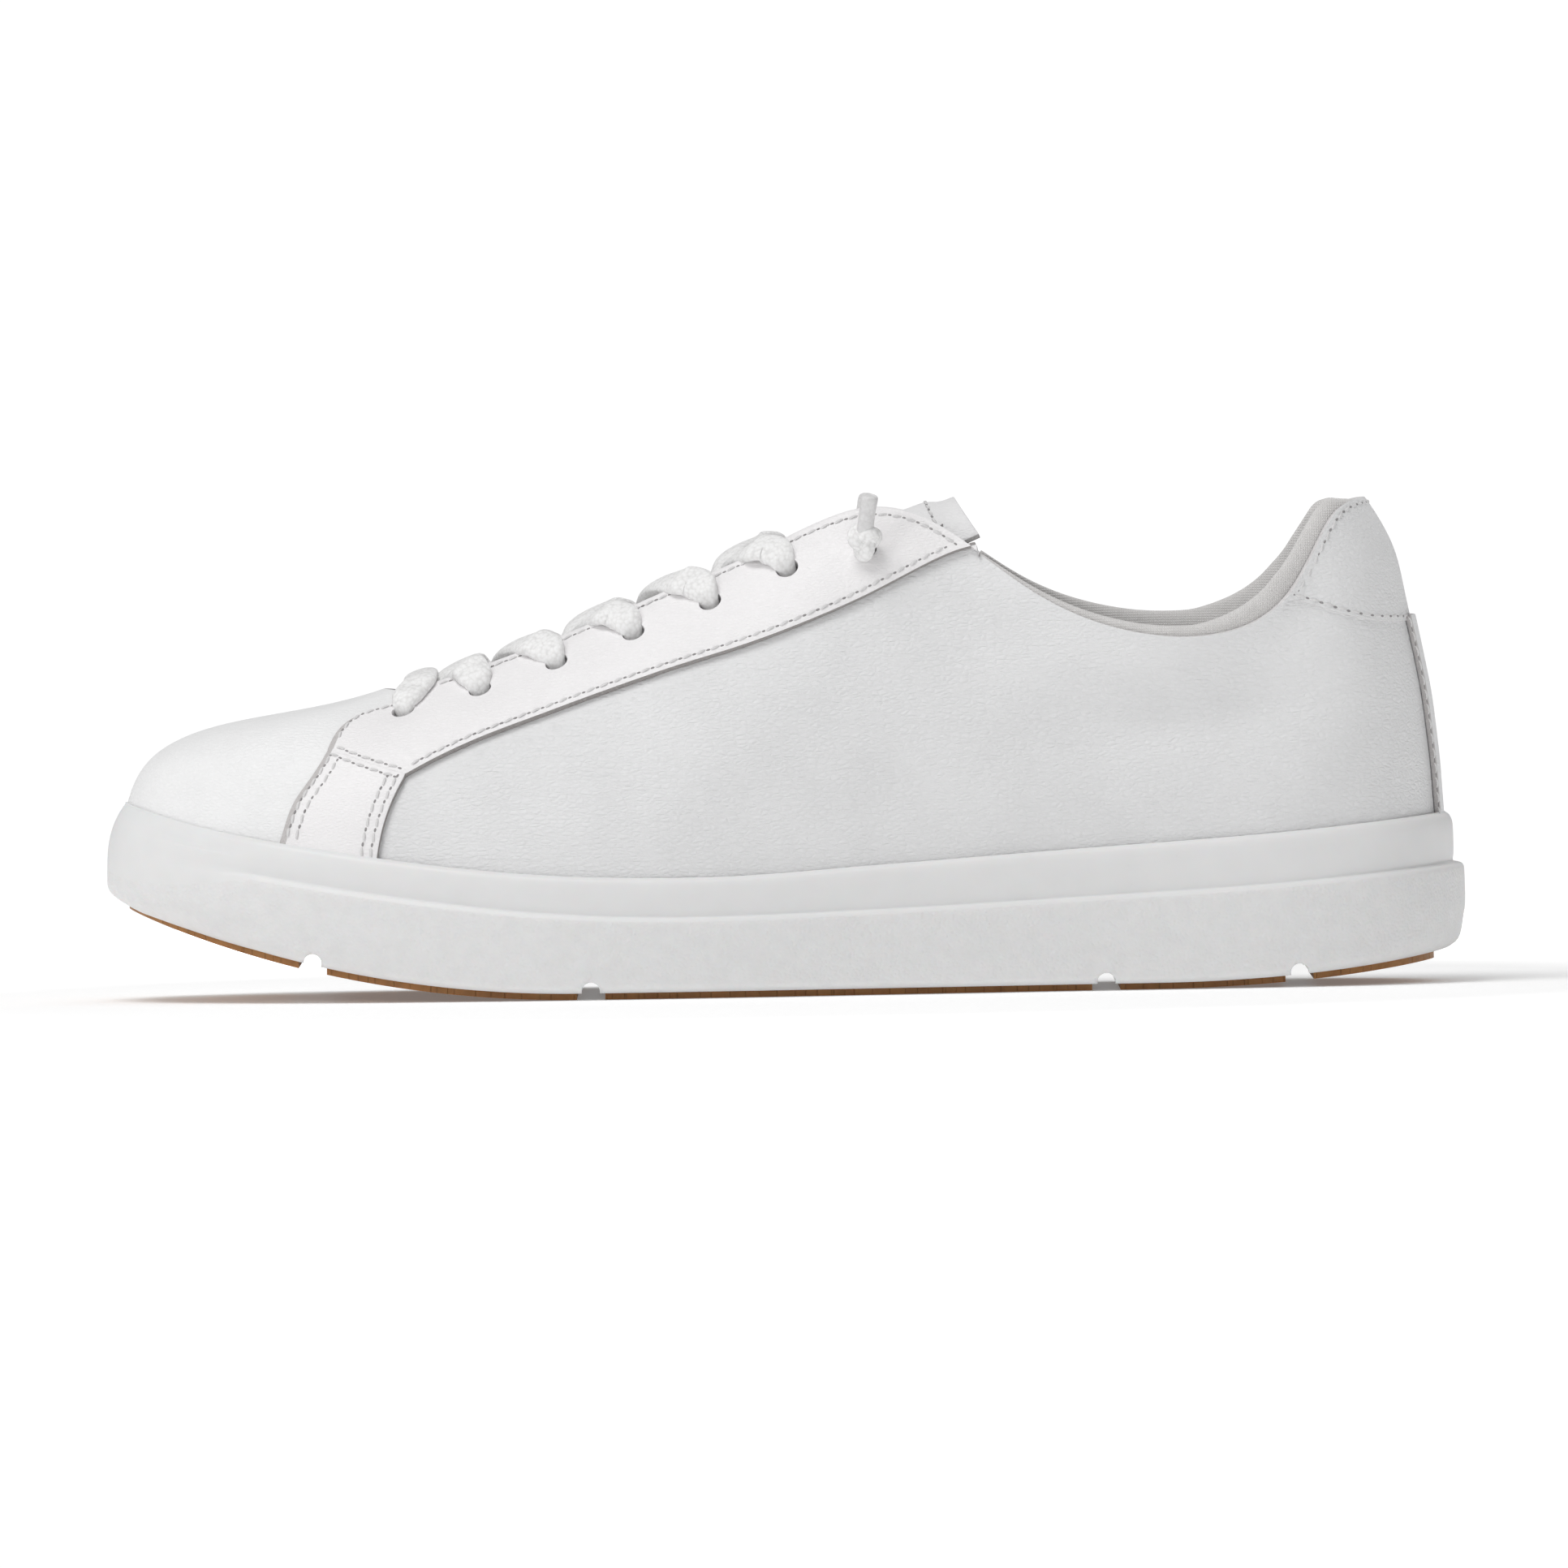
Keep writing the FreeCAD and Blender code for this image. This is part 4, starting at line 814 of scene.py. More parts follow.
def make_side(word, side):
    """Eyestay, strap, their stitching and the quarter of one side."""
    lower, front, strap_front, strap_rear, vamp = upper_edges(side)
    holes = EYELET_CUTTERS[side]
    # Eyestay: joint with the strap and lower edge below, the edge of the form above.
    joint = straight(front[0], lower[0], 14)
    m, n = EYESTAY_GRID
    bottom = spread(np.vstack([joint[:-1], lower]), m)
    front_top = np.array([front[-1][0], 1.0])
    front = np.vstack([front[:-2], straight(front[-2], front_top, 4)[1:]])
    rear_turn = lower[-1][0]
    bottom[-1] = (rear_turn, 0.985)
    top = np.stack([np.linspace(front_top[0], rear_turn, 600), np.ones(600)], -1)
    top = spread(top, m)
    grid = coons(bottom, top, spread(front, n), straight(bottom[-1], top[-1], n))
    met = int(np.linalg.norm(bottom - joint[-1], axis=1).argmin())
    sheet_piece("eyestay_" + word, grid, OVERLAY, "eyestay_leather", edge="cut_edge", cutters=[holes], skived=2,
                joined=[*range(met), *top_run(m, n)])
    # Strap below it.
    m, n = STRAP_GRID
    joint_low = joint + (0, 0.004)
    low_line = straight(strap_front[0], strap_rear[0], 20)
    grid = coons(spread(low_line, m), spread(joint_low, m), spread(np.vstack([strap_front[:-1], joint_low[:1]]), n),
                 spread(np.vstack([strap_rear[:-1], joint_low[-1:]]), n))
    sheet_piece("side_strap_" + word, grid, OVERLAY, "eyestay_leather", edge="cut_edge", skived=2,
                joined=top_run(m, n))
    # Stitching: one row round the eyestay, two at the joint and along both edges of the strap.
    stitching("eyestay_stitching_" + word, [row(curve, OVERLAY[0] + 0.02, -side * inset) for curve, inset in (
        (lower[2:-8], -1.45), (front[2:], 1.7), (top[3:-7], 1.7), (joint[1:-1], -1.1), (joint[1:-1], 1.3),
        (strap_front[10:-2], 1.8), (strap_front[10:-3], 3.9), (strap_rear[8:-1], -1.5), (strap_rear[8:-2], -3.6))])
    # Quarter, from the heel to the seam under the strap.
    back = np.linspace(0.0, COLLAR_CORNER, 44)
    heel_top = np.stack([back, np.minimum(share_below(side_turns(back, side), HEEL_SEAM, 0.8), 1.0)], -1)
    heel_top[-1, 1] = 1.0
    seam_top = side_turns(vamp[-1][0], side)
    ahead = np.linspace(COLLAR_CORNER, seam_top, 150)[1:]
    top_line = np.vstack([heel_top, np.stack([ahead, np.ones(len(ahead))], -1)])
    low_end = side_turns(vamp[0][0], side)
    low_turns = top_line[:, 0] * low_end / seam_top
    low_share = share_below(side_turns(low_turns, side), CUP_TOP, TUCKED)
    low_share[-1] = vamp[0][1]
    bottom = np.stack([side_turns(low_turns, side), low_share], -1)
    top_line[:, 0] = side_turns(top_line[:, 0], side)
    grid = coons(bottom, top_line, straight(bottom[0], top_line[0], 56), spread(vamp, 56))
    sheet_piece("quarter_" + word, grid, BASE, "upper_leather", cutters=[holes], bevel=0.35)


def make_vamp(lateral, medial):
    bottom_turns = np.linspace(lateral[0][0], medial[0][0], 150)
    bottom = np.stack([bottom_turns, share_below(bottom_turns, CUP_TOP, TUCKED)], -1)
    bottom[0], bottom[-1] = lateral[0], medial[0]
    top = np.stack([np.linspace(lateral[-1][0], medial[-1][0], 150), np.ones(150)], -1)
    grid = coons(bottom, top, spread(lateral, 60), spread(medial, 60))
    sheet_piece("vamp", grid, BASE, "vamp_leather", "upper_leather", cutters=EYELET_CUTTERS.values(), bevel=0.35)


def make_heel():
    """Patch over the back of the collar, and the strip that covers the back seam below it."""
    turns = np.linspace(-COLLAR_CORNER, COLLAR_CORNER, 96)
    low = np.minimum(share_below(turns % TURNS, HEEL_SEAM, 0.1), 0.985)
    sheet_piece("heel_patch", ribbon(turns, low, 1, 34), (0.4, -1.2), "heel_leather")
    seam = np.stack([turns, low], -1)
    edge = np.stack([np.linspace(-COLLAR_CORNER, COLLAR_CORNER, 160), np.ones(160)], -1)
    stitching("heel_patch_stitching", [row(seam[3:-3], 0.42, 1.0), row(edge[6:-6], 0.42, -1.3)])
    # Back strip: constant width, from inside the cup up to the patch's seam.
    count, half = 60, 7.5
    low_s = float(share_below(np.array([0.0]), CUP_TOP, -4.0)[0])
    high_s = float(share_below(np.array([0.0]), HEEL_SEAM, 1.2)[0])
    shares = np.linspace(low_s, high_s, count)
    edges = []
    for sign in (-1, 1):
        a, b = np.zeros(count), np.full(count, 1.2)
        for _ in range(30):
            middle = (a + b) / 2
            wide = np.abs(form((sign * middle) % TURNS, shares)[:, 1]) > half
            a, b = np.where(wide, a, middle), np.where(wide, middle, b)
        edges.append(sign * (a + b) / 2)
    u = np.linspace(0, 1, 18)[:, None]
    t = edges[0][None] * (1 - u) + edges[1][None] * u
    grid = np.stack([t, np.repeat(shares[None], 18, 0)], -1)
    sheet_piece("heel_strip", grid, (OVERLAY[0] + 0.2, OVERLAY[1]), "heel_leather", edge="skived_edge")
    stitching("heel_strip_stitching", [row(np.stack([edge[3:], shares[3:]], -1), OVERLAY[0] + 0.22, inset)
                                       for edge, inset in zip(edges, (2.2, -2.2))])


for word, side in SIDES:
    make_side(word, side)
make_vamp(upper_edges(LATERAL)[4], upper_edges(MEDIAL)[4])
make_heel()


# ---------------------------------------------------------------- cup sole
def paired_turns(count):
    """Rib numbers round the foot whose lateral and medial halves have the same x, from toe to heel."""
    fine = np.linspace(0, TOE, 1601)
    lateral_x, medial_x = form(fine, 0)[:, 0], form(TURNS - fine, 0)[:, 0]
    low, high = lateral_x.min(), lateral_x.max()
    x = low + (high - low) * (1 - np.cos(np.linspace(0, math.pi, count))) / 2
    x = 0.55 * x + 0.45 * np.linspace(low, high, count)
    lateral = np.interp(x, lateral_x[::-1], fine[::-1])
    medial = TURNS - np.interp(x, medial_x[::-1], fine[::-1])
    lateral[0], lateral[-1], medial[0], medial[-1] = TOE, 0, TOE, TURNS
    return lateral, medial


def make_cup():
    """Moulded cup: one profile round the foot, from the underside up over both bands and down inside."""
    count = 250
    lateral, medial = paired_turns(count)
    turns = np.concatenate([lateral, medial[-2:0:-1]])
    rise = share_below(turns, CUP_TOP)
    rim = form(turns, rise)
    plan = normal(turns, rise)
    plan[:, 2] = 0
    plan = unit(plan)
    top = rim[:, 2]
    heel = smooth((rim[:, 0] - 108) / 34)
    wall = 5.0 + 0.9 * heel
    fade = np.clip((rim[:, 0] + 140) / 25, 0, 1)
    band = 3.4 + 1.6 * (1 - fade) * 0.85
    step = height(CUP_STEP, rim[:, 0] + plan[:, 0] * wall)
    low = sole_line(rim[:, 0] + plan[:, 0] * wall / 2) + PAD_DROP
    floor = height(FLOOR, rim[:, 0]) + 0.3
    deep = np.clip(step - low, 4.0, None)
    ledge = 0.25 + 0.75 * fade
    soft = 1 + 1.5 * (1 - fade)
    low_soft = soft + 0.5 * heel
    span = top - step
    lip = low - 0.55 - 1.4 * (1 - fade)
    base, edge = wall - 2.6 * low_soft, band - 0.3 * (soft - 1)
    outs = [(wall - 10.5, low), (base - 2.0, low), (base - 0.8, lip + 0.05), (base, lip + 0.1 * low_soft),
            (wall - 1.5 * low_soft, lip + 0.75 * low_soft), (wall - 0.75 * low_soft, lip + 1.9 * low_soft),
            (wall - 0.3 * low_soft, low + 0.32 * deep), (wall + 0.02, low + 0.5 * deep),
            (wall + 0.05, low + 0.72 * deep), (wall - 0.05, step - 1.5), (wall - 0.25, step - 0.75),
            (wall - 0.6 * ledge, step - 0.25), (band + (wall - band) * 0.4, step + 0.08),
            (band + 0.1 * ledge, step + 0.25), (band - 0.05 * ledge, step + 0.75), (band + 0.12, step + 1.8),
            (band + 0.15, step + 0.45 * span), (band + 0.05 - 0.4 * (soft - 1), top - 3.0 * soft),
            (edge - 0.25 * soft, top - 1.7 * soft), (band - 0.75 * soft, top - 0.75 * soft),
            (band - 1.5 * soft, top - 0.2 * soft), (band - 1.9 * soft, top), (0.5, top - 0.12),
            (0.18, top - 0.6), (0.12, top - 2.2), (-0.4, top - 6.0), (-1.2, floor + 1.0), (-3.0, floor)]
    outs = [(out + 0 * low, z + 0 * low) for out, z in outs]
    # Round the toe the two bands fade into one bulge.
    for k in range(3, 22):
        out, z = outs[k]
        u = (1 - np.cos(math.pi * (k - 2.6) / 19.0)) / 2
        z = z * fade + (lip + (top - lip) * u) * (1 - fade)
        bulge = (wall - 4.2 * np.clip((0.21 - u) / 0.21, 0, 1) ** 2.4
                 - 4.6 * np.clip((u - 0.21) / 0.79, 0, 1) ** 3.2)
        outs[k] = out * fade + np.maximum(bulge, 0.7) * (1 - fade), z
    rows = []
    for out, z in outs:
        p = rim + plan * out[:, None]
        p[:, 2] = z
        rows.append(p)
    verts = np.stack(rows, 1)
    ring, levels = verts.shape[:2]
    # A fine resampling up the profile, through every level.
    at = np.arange(levels)
    fine_at = np.concatenate([np.linspace(a, a + 1, 3)[:-1] for a in at[:-1]] + [[levels - 1]])
    before, after = neighbours(levels)
    slope = (verts[:, after] - verts[:, before]) / (after - before)[None, :, None]
    i = np.clip(np.floor(fine_at).astype(int), 0, levels - 2)
    smooth_rows = blend((fine_at - i)[None, :, None], verts[:, i], verts[:, i + 1], slope[:, i], slope[:, i + 1])
    n = smooth_rows.shape[1]
    points = smooth_rows.reshape(-1, 3)
    faces = [grid_faces(ring, n, wrap=True)]
    level_of = np.tile(fine_at[:-1], ring)
    slots = [np.where((level_of >= 4) & (level_of < 10), 1, 0)]
    # Underside and floor: rungs between the two halves.
    extra, start = [], len(points)
    columns = 12
    for level_index, flip in ((0, False), (n - 1, True)):
        k, share = np.arange(count), np.linspace(0, 1, columns)[None, :, None]
        a, b = smooth_rows[k, level_index][:, None], smooth_rows[(ring - k) % ring, level_index][:, None]
        extra.append((a * (1 - share) + b * share).reshape(-1, 3))
        cap = grid_faces(count, columns, start)
        faces.append(cap[:, ::-1] if flip else cap)
        slots.append(np.zeros(len(cap), int))
        start += count * columns
    obj = new_object("midsole_cup_shell", np.concatenate([points] + extra), np.concatenate(faces),
                     ["cup_rubber", "cup_pebbled"], "shoe", np.concatenate(slots))
    grooves = tube_cutter("groove_cutter", [[(x, y, float(sole_line(x)) + PAD_DROP - 0.1) for y in (-80, 80)]
                                            for x in FLEX_GROOVES], 2.0)
    modified(obj, grooves)
    standing_for(obj, "cup_rubber", "midsole_cup")
    bpy.data.objects.remove(grooves)


make_cup()
for material, nodes in (("gum_rubber", ("outsole_toe_pad", "outsole_ball_pad", "outsole_arch_pad",
                                        "outsole_heel_front_pad", "outsole_heel_rear_pad")),
                        ("board", ("strobel_board",)), ("stiffener", ("toe_puff", "heel_counter")),
                        ("backing_tape", ("eyestay_backing_lateral", "eyestay_backing_medial")),
                        ("footbed_foam", ("footbed",))):
    for node in nodes:
        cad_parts[node].data.materials.clear()
        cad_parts[node].data.materials.append(MATERIALS[material])


# ---------------------------------------------------------------- inside
def make_linings():
    for word, side in SIDES:
        turns = np.linspace(0.0, 12.6, 110)
        seam = 0.56 + 0.2 * smooth((turns - 4.5) / 2.0)
        top = np.where(turns > 6.4, 0.985, seam + 0.05)
        low = share_below(side_turns(turns, side), FLOOR, 3.0)
        sheet_piece("quarter_lining_" + word, ribbon(side_turns(turns, side), low, top, 30), LINING, "lining_cloth",
                    cutters=[EYELET_CUTTERS[side]], bevel=0.0)
    turns = np.linspace(12.64, TURNS - 12.64, 70)
    grid = ribbon(turns, share_below(turns, FLOOR, 3.0), 0.985, 40)
    sheet_piece("vamp_lining", grid, LINING, "lining_cloth", bevel=0.0)


make_linings()


def make_footbed_cover():
    """Cloth over the loose footbed, inside a margin from the form's lower edge, with a rounded rim."""
    count, columns, margin, thick, rim_width = 160, 40, 5.6, 0.8, 6.0
    low = 0.12 * 4 + 1.5 + 4.0 + 0.12

    def outline(turns):
        p, n = form(turns, 0), normal(turns, 0)
        n[:, 2] = 0
        return p - unit(n) * margin

    a, b = (outline(turns) for turns in paired_turns(count))
    share = (1 - np.cos(math.pi * np.linspace(0, 1, columns))) / 2
    grid = a[:, None] * (1 - share)[None, :, None] + b[:, None] * share[None, :, None]
    rim = np.minimum(np.minimum(share, 1 - share)[None, :] * np.linalg.norm(a - b, axis=1)[:, None],
                     rim_width) / rim_width
    ends = np.clip(np.minimum(np.arange(count), np.arange(count)[::-1]) / 6.0, 0, 1)[:, None]
    over, under = grid.copy(), grid.copy()
    under[..., 2] = height(FLOOR, grid[..., 0]) + low
    over[..., 2] = under[..., 2] + thick * (0.55 + 0.45 * smooth(np.minimum(rim, ends)))
    verts, faces, _ = slab_mesh(over, under)
    standing_for(new_object("footbed_cover", verts, faces, ["footbed_cloth"], "footbed"), "footbed_cloth",
                 "footbed_cover")


make_footbed_cover()


# ---------------------------------------------------------------- padded pieces
SIM_FRAMES = 16


def puff(obj, pinned, pressure, cap):
    """Blows a closed soft piece up a little by cloth simulation, holding the pinned vertices, and keeps each
    point within cap of where it started."""
    rest = np.array([v.co for v in obj.data.vertices])
    group = obj.vertex_groups.new(name="pinned")
    group.add([int(k) for k in np.flatnonzero(pinned)], 1.0, "REPLACE")
    cloth = obj.modifiers.new("soft", "CLOTH")
    for setting, value in (("vertex_group_mass", "pinned"), ("quality", 6), ("mass", 0.25),
                           ("tension_stiffness", 12), ("compression_stiffness", 12), ("shear_stiffness", 6),
                           ("bending_stiffness", 2), ("use_pressure", True), ("uniform_pressure_force", pressure)):
        setattr(cloth.settings, setting, value)
    cloth.settings.effector_weights.gravity = 0
    cloth.collision_settings.use_collision = False
    cloth.point_cache.frame_start, cloth.point_cache.frame_end = 1, SIM_FRAMES
    for step in range(1, SIM_FRAMES + 1):
        scene.frame_set(step)
    graph = bpy.context.evaluated_depsgraph_get()
    moved = np.array([v.co for v in obj.evaluated_get(graph).data.vertices])
    obj.modifiers.clear()
    obj.vertex_groups.clear()
    shift = moved - rest
    length = np.linalg.norm(shift, axis=1, keepdims=True)
    shift *= np.minimum(1, cap * MM / np.maximum(length, 1e-9))
    obj.data.vertices.foreach_set("co", (rest + shift).astype(np.float32).ravel())
    obj.data.update()
    scene.frame_set(1)


def make_collar():
    """The padded collar: its cloth starts inside the leather's edge, rolls over the foam and runs down to the
    quarter linings."""
    end = 6.6
    count = 150
    turns = np.linspace(-end, end, count)
    from_heel = np.abs(turns)
    seam = 0.56 + 0.2 * smooth((from_heel - 4.5) / 2.0)
    full = smooth((end - from_heel) / 2.2)
    # The section as (height, depth): 0 at the seam, 1 at the form's edge, and back up behind the foam.
    section = [(1.0, -1.42, 0), (1.045, -1.62, 0.9), (1.075, -2.5, 2.2), (1.06, -3.7, 3.2), (1.0, -4.8, 3.6),
               (0.9, -5.6, 3.9), (0.78, -6.3, 3.6), (0.64, -6.0, 2.6), (0.5, -5.3, 1.7), (0.34, -4.6, 0.8),
               (0.18, -4.0, 0.3), (0.04, -3.55, 0), (0.0, -3.42, 0)]
    outer = through([(a * 20, b, c) for a, b, c in section], 34)
    share, depth = outer[:, 0] / 20, outer[:, 1]
    back_share = np.linspace(0, 1, 14)[1:-1]
    # It stands well above the leather beside the heel patch.
    tall = np.interp(from_heel, (0, 0.6, 1.0, 1.5, 2.0, 2.5, 3.0, 3.5, 4.0, 4.6),
                     (0.6, 0.8, 1.1, 1.8, 2.6, 3.2, 3.3, 2.2, 1.2, 1.0))
    raised = np.clip(share - 1, 0, None)[None] * tall[:, None]
    thick = 1 + 0.5 * smooth((3.4 - from_heel) / 1.6)
    slim = (1 - full[:, None]) * np.clip(-depth - 3.5, 0, None)[None] * 0.9
    rolled = BACKING[0] + (depth - BACKING[0])[None] * thick[:, None] + slim
    behind = np.full((count, len(back_share)), -1.5) - 1.85 * (1 - back_share[None]) ** 3
    up = np.concatenate([np.minimum(share, 1)[None] + raised, np.repeat(back_share[None], count, 0)], 1)
    s, d = seam[:, None] + (1 - seam[:, None]) * up, np.concatenate([rolled, behind], 1)
    t = np.repeat(turns[:, None], s.shape[1], 1)
    # Rolls of the cloth, a little uneven along the collar.
    wave = 0.22 * np.sin(t * 5.1 + 0.6) + 0.13 * np.sin(t * 11.7 + 2.1)
    inner = np.clip((-d - 2.5) / 3, 0, 1)
    verts = off(t, s, d + wave * inner)
    m, n = s.shape
    obj = new_object("collar_lining", verts.reshape(-1, 3), tube_faces(m, n), ["lining_cloth"])
    if len(obj.data.vertices) == m * n:
        order = np.tile(np.arange(n), m)
        ring = np.repeat(np.arange(m), n)
        pinned = (order >= 30) | (order <= 1) | (ring < 3) | (ring > m - 4)
        puff(obj, pinned, 3.0, 1.2)
    standing_for(obj, "lining_cloth", "collar_lining", "collar_padding")


make_collar()


def crown(x):
    return height([(a, b) for a, b, _ in TONGUE_LINE], x)


def make_tongue():
    """Padded tongue: leather face, foam body and cloth back, with a flat hem all round."""
    rows, columns = 110, 50
    x = np.linspace(-92, TONGUE_END, rows)
    z = crown(x)
    half = np.radians(height([(a, c) for a, _, c in TONGUE_LINE], x))
    slope = np.gradient(z, x)
    up = unit(np.stack([-slope, 0 * x, np.ones_like(x)], -1))
    along = unit(np.stack([np.ones_like(x), 0 * x, slope], -1))
    centre = np.stack([x, 0 * x, z], -1) - up * TONGUE_RADIUS
    v = np.linspace(-1, 1, columns)

    def surface(depth, spread_share=1.0):
        angle = half[:, None] * v[None] * spread_share
        reach = np.broadcast_to(TONGUE_RADIUS - depth, angle.shape)
        p = centre[:, None] + up[:, None] * (reach * np.cos(angle))[..., None]
        p[..., 1] += reach * np.sin(angle)
        # The top edge runs further back towards its sides.
        tip = np.clip((x[:, None] - 20) / 18.6, 0, 1) ** 2 * v[None] ** 2
        return p + along[:, None] * (tip * 2.2)[..., None]

    distance = np.minimum((1 - np.abs(v))[None] * half[:, None] * TONGUE_RADIUS, (TONGUE_END - x)[:, None] * 1.05)
    hem = smooth((distance - 2.6) / 4.5)
    total = 5.42
    face_depth = 1.15 * (1 - hem)
    leather_in = face_depth + 1.0
    outer, mid = surface(face_depth), surface(leather_in)
    verts, faces, slots = slab_mesh(outer, mid)
    obj = new_object("tongue_leather", verts, faces, ["tongue_leather", "edge_paint"], "tongue", slots)
    modified(obj, bevel=0.25)
    standing_for(obj, "tongue_leather", "tongue_leather")
    # Body: foam in its cloth, from just under the leather.
    back_depth = total - 1.5 * (1 - hem) - 0.3
    verts, faces, _ = slab_mesh(surface(leather_in + 0.1, 0.985), surface(back_depth, 0.985))
    body = new_object("tongue_lining", verts, faces, ["lining_cloth"], "tongue")
    face = rows * columns
    if len(body.data.vertices) == 2 * face:
        k = np.arange(2 * face)
        i, j = (k % face) // columns, k % columns
        pinned = (k < face) | (i < 4) | (i > rows - 5) | (j < 3) | (j > columns - 4)
        puff(body, pinned, 2.0, 0.9)
    standing_for(body, "lining_cloth", "tongue_padding", "tongue_lining")
    # Hem stitching round its free edges.
    p = outer
    du, dv = np.gradient(p, axis=0), np.gradient(p, axis=1)
    n_face = unit(np.cross(dv, du))
    n_face *= np.sign((n_face * up[:, None]).sum(-1).mean())
    path = [(i, 5) for i in range(45, 104)] + [(104, j) for j in range(6, 44)] + [(i, 44) for i in range(103, 44, -1)]
    run = np.array([p[i, j] for i, j in path])
    up_run = np.array([n_face[i, j] for i, j in path])
    stitching("tongue_stitching", [(run, up_run, 0.15)], "tongue")


make_tongue()

# ---------------------------------------------------------------- lace
LACE_WIDTH, LACE_THICK = 7.4, 2.9
OVER, UNDER = OVERLAY[0] + 0.85, LINING[1] - 2.3
OVER_AHEAD, UNDER_AHEAD, BAR_AHEAD = 0.42, 0.15, 0.35


def lace_stations():
    """Centre, outward direction, width and thickness of the lace at each place on its way."""
    stations = []

    def add(point, up, width=1.0, thick=1.0):
        stations.append((np.array(point, float), np.array(up, float), width * LACE_WIDTH, thick * LACE_THICK))

    def at(side, index, dt, ds, out, width, thick=1.0):
        t, s = SPOTS[side, index]
        t, s = t - side * dt, s + ds
        add(off(t, s, out), normal(t, s), width, thick)

    def edge(side, index, ahead, out, width=1.0, thick=1.0):
        t = SPOTS[side, index][0] - side * ahead
        add(off(t, 1.0, out), normal(t, 1.0), width, thick)

    def crossing(index, lane):
        a = off(SPOTS[LATERAL, index][0] + OVER_AHEAD, 1.0, 0)[0]
        b = off(SPOTS[LATERAL, index + 1][0] + UNDER_AHEAD, 1.0, 0)[0]
        x = 0.35 * a + 0.65 * b
        up = unit(np.array((-0.38, 0, 1.0)))
        add((x, 0, crown(x) + 3.0 + lane * 2.6), up, 0.95)

    def out_of(side, index):
        """Up through the eyelet from inside and over its own edge."""
        ahead = (BAR_AHEAD if index == EYELETS - 1 else OVER_AHEAD) * 0.42
        for station in ((0.03, 0.012, UNDER, 0.56, 0.9), (0.035, 0.014, -0.6, 0.5, 0.85),
                        (0.07, 0.032, OVER - 0.35, 0.74, 1.05), (ahead * 0.85, 0.07, OVER + 0.3, 0.98, 1.15),
                        (ahead * 1.6, 0.12, OVER + 0.35, 1.05, 1.05)):
            at(side, index, *station)

    def half(side, lane):
        """From the bar up to the knot, as stations in order."""
        nonlocal stations
        kept, stations = stations, []
        out_of(side, EYELETS - 1)
        stations.reverse()
        for index in range(EYELETS - 2, 0, -1):
            at(side, index + 1, 0.08, 0.09, UNDER - 0.4, 0.85)
            edge(side, index + 1, UNDER_AHEAD, UNDER - 0.1, 0.9, 0.9)
            crossing(index, lane)
            side = -side
            edge(side, index, OVER_AHEAD, OVER + 0.3, 1.05, 1.0)
            kept_part, stations = stations, []
            out_of(side, index)
            stations = kept_part + stations[::-1]
        at(side, 0, 0.3, -0.01, UNDER, 0.7)
        for depth in (UNDER, 0.0, OVER):
            at(side, 0, 0.0, 0.0, depth, 0.6)
        made, stations = stations, kept
        return made

    first, second = half(LATERAL, 1), half(MEDIAL, 0)
    bottom = EYELETS - 1
    edge(LATERAL, bottom, BAR_AHEAD, OVER + 0.3)
    a, b = SPOTS[LATERAL, bottom][0] + BAR_AHEAD, SPOTS[MEDIAL, bottom][0] - BAR_AHEAD
    peak = (off(a, 1.0, OVER) + off(b, 1.0, OVER)) / 2 + (0, 0, 1.2)
    add(peak, unit(np.array((-0.3, 0, 1.0))))
    edge(MEDIAL, bottom, BAR_AHEAD, OVER + 0.3)
    return first[::-1] + stations + second


def sweep(stations, spacing, around):
    """Ring grid of a flat braided cord along its stations."""
    control = np.array([np.concatenate([p, up * 6, [w, h]]) for p, up, w, h in stations])
    d = length_at(control[:, :3])
    before, after = neighbours(len(control))
    slope = (control[after] - control[before]) / (d[after] - d[before])[:, None]
    at = np.linspace(0, d[-1], int(d[-1] / spacing))
    i = np.clip(np.searchsorted(d, at, side="right") - 1, 0, len(control) - 2)
    span = (d[i + 1] - d[i])[:, None]
    line = blend((at - d[i])[:, None] / span, control[i], control[i + 1], slope[i] * span, slope[i + 1] * span)
    centre, width, thick = line[:, :3], line[:, 6], line[:, 7]
    ahead = unit(np.gradient(centre, axis=0))
    # The flat side is carried along the cord and settles towards the stations' outward directions.
    up, held = np.empty_like(centre), line[0, 3:6]
    for k, (forward, aim) in enumerate(zip(ahead, unit(line[:, 3:6]))):
        held = unit(held - forward * held.dot(forward))
        aim = aim - forward * aim.dot(forward)
        held = unit(held + aim * math.copysign(0.2 * np.linalg.norm(aim), held.dot(aim)))
        up[k] = held
    across = np.cross(up, ahead)
    turn = circle(around)
    c, s = np.cos(turn), np.sin(turn)
    flat = np.sign(c) * np.abs(c) ** 0.86
    shape = centre[:, None] + across[:, None] * (width[:, None] / 2 * flat[None])[..., None] \
        + up[:, None] * (thick[:, None] / 2 * (np.sign(s) * np.abs(s) ** 0.9)[None])[..., None]
    run = length_at(centre)
    # Two families of strands crossing, each rising over the other in turn.
    w = turn[None] / (2 * math.pi) * 20
    a = np.sin((run[:, None] / 1.6 + w) * math.pi)
    b = np.sin((run[:, None] / 1.6 - w) * math.pi)
    relief = 0.2 * np.maximum(np.abs(a) * np.sign(a * b + 0.2), np.abs(b) * 0.9)
    out = across[:, None] * c[None, :, None] + up[:, None] * s[None, :, None]
    return shape + unit(out) * relief[..., None], run[-1]


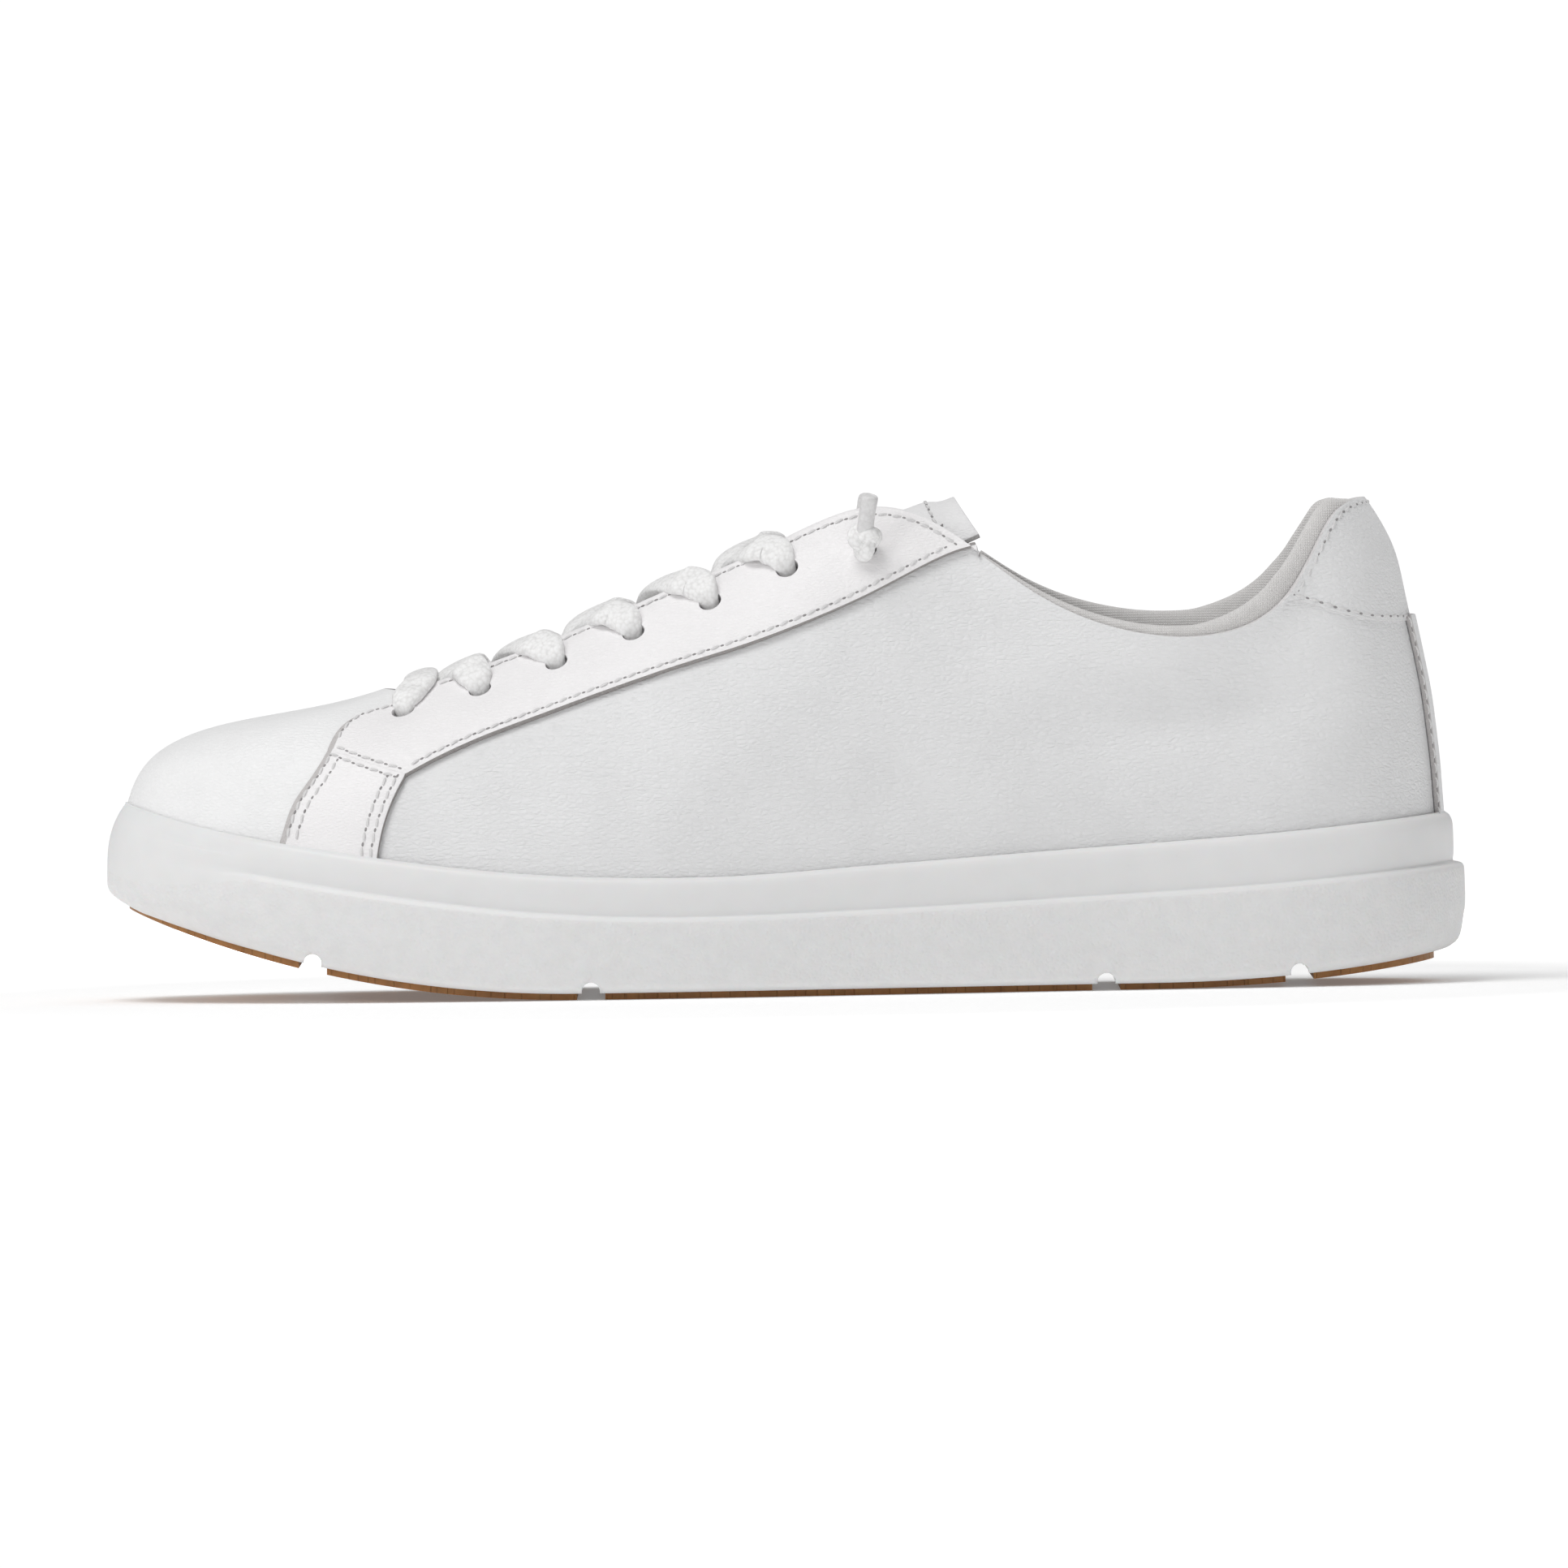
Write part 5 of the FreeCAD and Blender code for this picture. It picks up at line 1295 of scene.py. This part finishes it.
def make_lace():
    shape, length = sweep(lace_stations(), 0.36, 44)
    obj = new_object("lace", shape.reshape(-1, 3), tube_faces(*shape.shape[:2]), ["lace_cord"])
    standing_for(obj, "lace_cord", "lace")
    print(f"lace length {length:.0f} mm")


def make_knots():
    """An overhand knot outside each top eyelet, and the smooth tip that stands out of it."""
    for word, side in SIDES:
        t, s = SPOTS[side, 0]
        n = normal(t, s)
        tip_up = unit(np.array((0.10, side * 0.32, 1.0)))
        right = unit(np.cross(tip_up, n))
        out = np.cross(right, tip_up)
        centre = off(t, s, OVERLAY[0] + 3.3)
        # Trefoil of cord, flattened against the leather.
        turns = np.linspace(0, 2 * math.pi, 260, endpoint=False)
        a = np.sin(turns) + 1.75 * np.sin(2 * turns)
        b = np.cos(turns) - 1.75 * np.cos(2 * turns)
        c = -np.sin(3 * turns)
        line = centre + (right * (a * 0.86)[:, None] + tip_up * (b * 1.12)[:, None] + out * (c * 1.0)[:, None])
        ahead = unit(np.roll(line, -1, 0) - np.roll(line, 1, 0))
        side_dir = unit(np.cross(ahead, out))
        up_dir = np.cross(side_dir, ahead)
        turn = circle(26)
        w = turn[None] / (2 * math.pi) * 12
        run = np.arange(len(line))[:, None] * 0.17
        weave = 0.1 * np.maximum(np.sin((run / 1.3 + w) * math.pi), np.sin((run / 1.3 - w) * math.pi))
        radius = 1.62 + weave
        shape = line[:, None] + side_dir[:, None] * (radius * np.cos(turn))[..., None] \
            + up_dir[:, None] * (radius * np.sin(turn))[..., None]
        # The tube's last ring meets its first again, so the caps are left off.
        faces = np.array(tube_faces(len(line) + 1, len(turn))[:-2]) % (len(line) * len(turn))
        knot = new_object("lace_knot_" + word, shape.reshape(-1, 3), faces, ["lace_cord"])
        standing_for(knot, "lace_cord", "lace_knot_" + word)
        # Tip: a heat-sealed sleeve with a softly rounded end and a slight waist.
        base = centre + tip_up * 1.5 + out * 0.3
        profile = [(0.0, 1.5), (0.8, 1.78), (2.0, 1.86), (4.5, 1.8), (7.0, 1.84), (8.3, 1.82), (8.9, 1.6),
                   (9.15, 1.15), (9.25, 0.5)]
        smooth_profile = through(profile, 40)
        turn = circle(32)
        lean = np.clip(smooth_profile[:, 0] / 9, 0, 1) ** 2
        middle = base + tip_up * smooth_profile[:, :1] + np.array((0.5, 0, 0)) * lean[:, None]
        shape = middle[:, None] + (right[None] * np.cos(turn)[:, None] + out[None] * np.sin(turn)[:, None])[None] \
            * smooth_profile[:, 1][:, None, None]
        n = len(turn)
        verts = np.vstack([shape.reshape(-1, 3), middle[:1], middle[-1:] + tip_up * 0.05])
        last = (len(shape) - 1) * n
        faces = tube_faces(len(shape), n)[:-2]
        faces += [[last + n, (j + 1) % n, j] for j in range(n)]
        faces += [[last + n + 1, last + j, last + (j + 1) % n] for j in range(n)]
        tip = new_object("lace_tip_" + word, verts, faces, ["lace_tip"])
        standing_for(tip, "lace_tip", "lace_tip_" + word)


make_lace()
make_knots()
for cutter in EYELET_CUTTERS.values():
    bpy.data.objects.remove(cutter)


# ---------------------------------------------------------------- floor and light
def make_stage():
    radius, around = 620.0, 96
    turn = circle(around)
    verts = np.stack([radius * np.cos(turn), radius * np.sin(turn), np.full(around, -0.05)], -1)
    floor = new_object("floor", verts, [range(around)], ["floor"], None)
    world = bpy.data.worlds.new("studio")
    world.use_nodes = True
    background = world.node_tree.nodes["Background"]
    background.inputs["Color"].default_value = (1, 1, 1, 1)
    path = world.node_tree.nodes.new("ShaderNodeLightPath")
    strength = world.node_tree.nodes.new("ShaderNodeMapRange")
    strength.inputs["To Min"].default_value, strength.inputs["To Max"].default_value = 0.4, 1.05
    world.node_tree.links.new(path.outputs["Is Camera Ray"], strength.inputs["Value"])
    world.node_tree.links.new(strength.outputs["Result"], background.inputs["Strength"])
    scene.world = world
    scene.view_settings.view_transform = "Standard"
    for name, place, aim, width, watts in (("top", (-0.4, -0.35, 1.5), (0, 0, 0.05), 0.8, 10.5),
                                           ("front", (-1.8, -1.8, 1.1), (0, 0, 0.05), 1.0, 7.9),
                                           ("back", (0.8, 1.6, 1.2), (0, 0, 0.05), 1.4, 4.0)):
        light = bpy.data.objects.new("light_" + name, bpy.data.lights.new("light_" + name, "AREA"))
        light.data.shape = "DISK"
        light.data.size = width
        light.data.energy = watts
        scene.collection.objects.link(light)
        direction = np.array(aim) - np.array(place)
        z_axis = -unit(direction)
        x_axis = unit(np.cross((0.0, 0.0, 1.0), z_axis))
        y_axis = np.cross(z_axis, x_axis)
        light.matrix_world = Matrix([(*row, 0) for row in (x_axis, y_axis, z_axis)] + [(*place, 1)]).transposed()


make_stage()
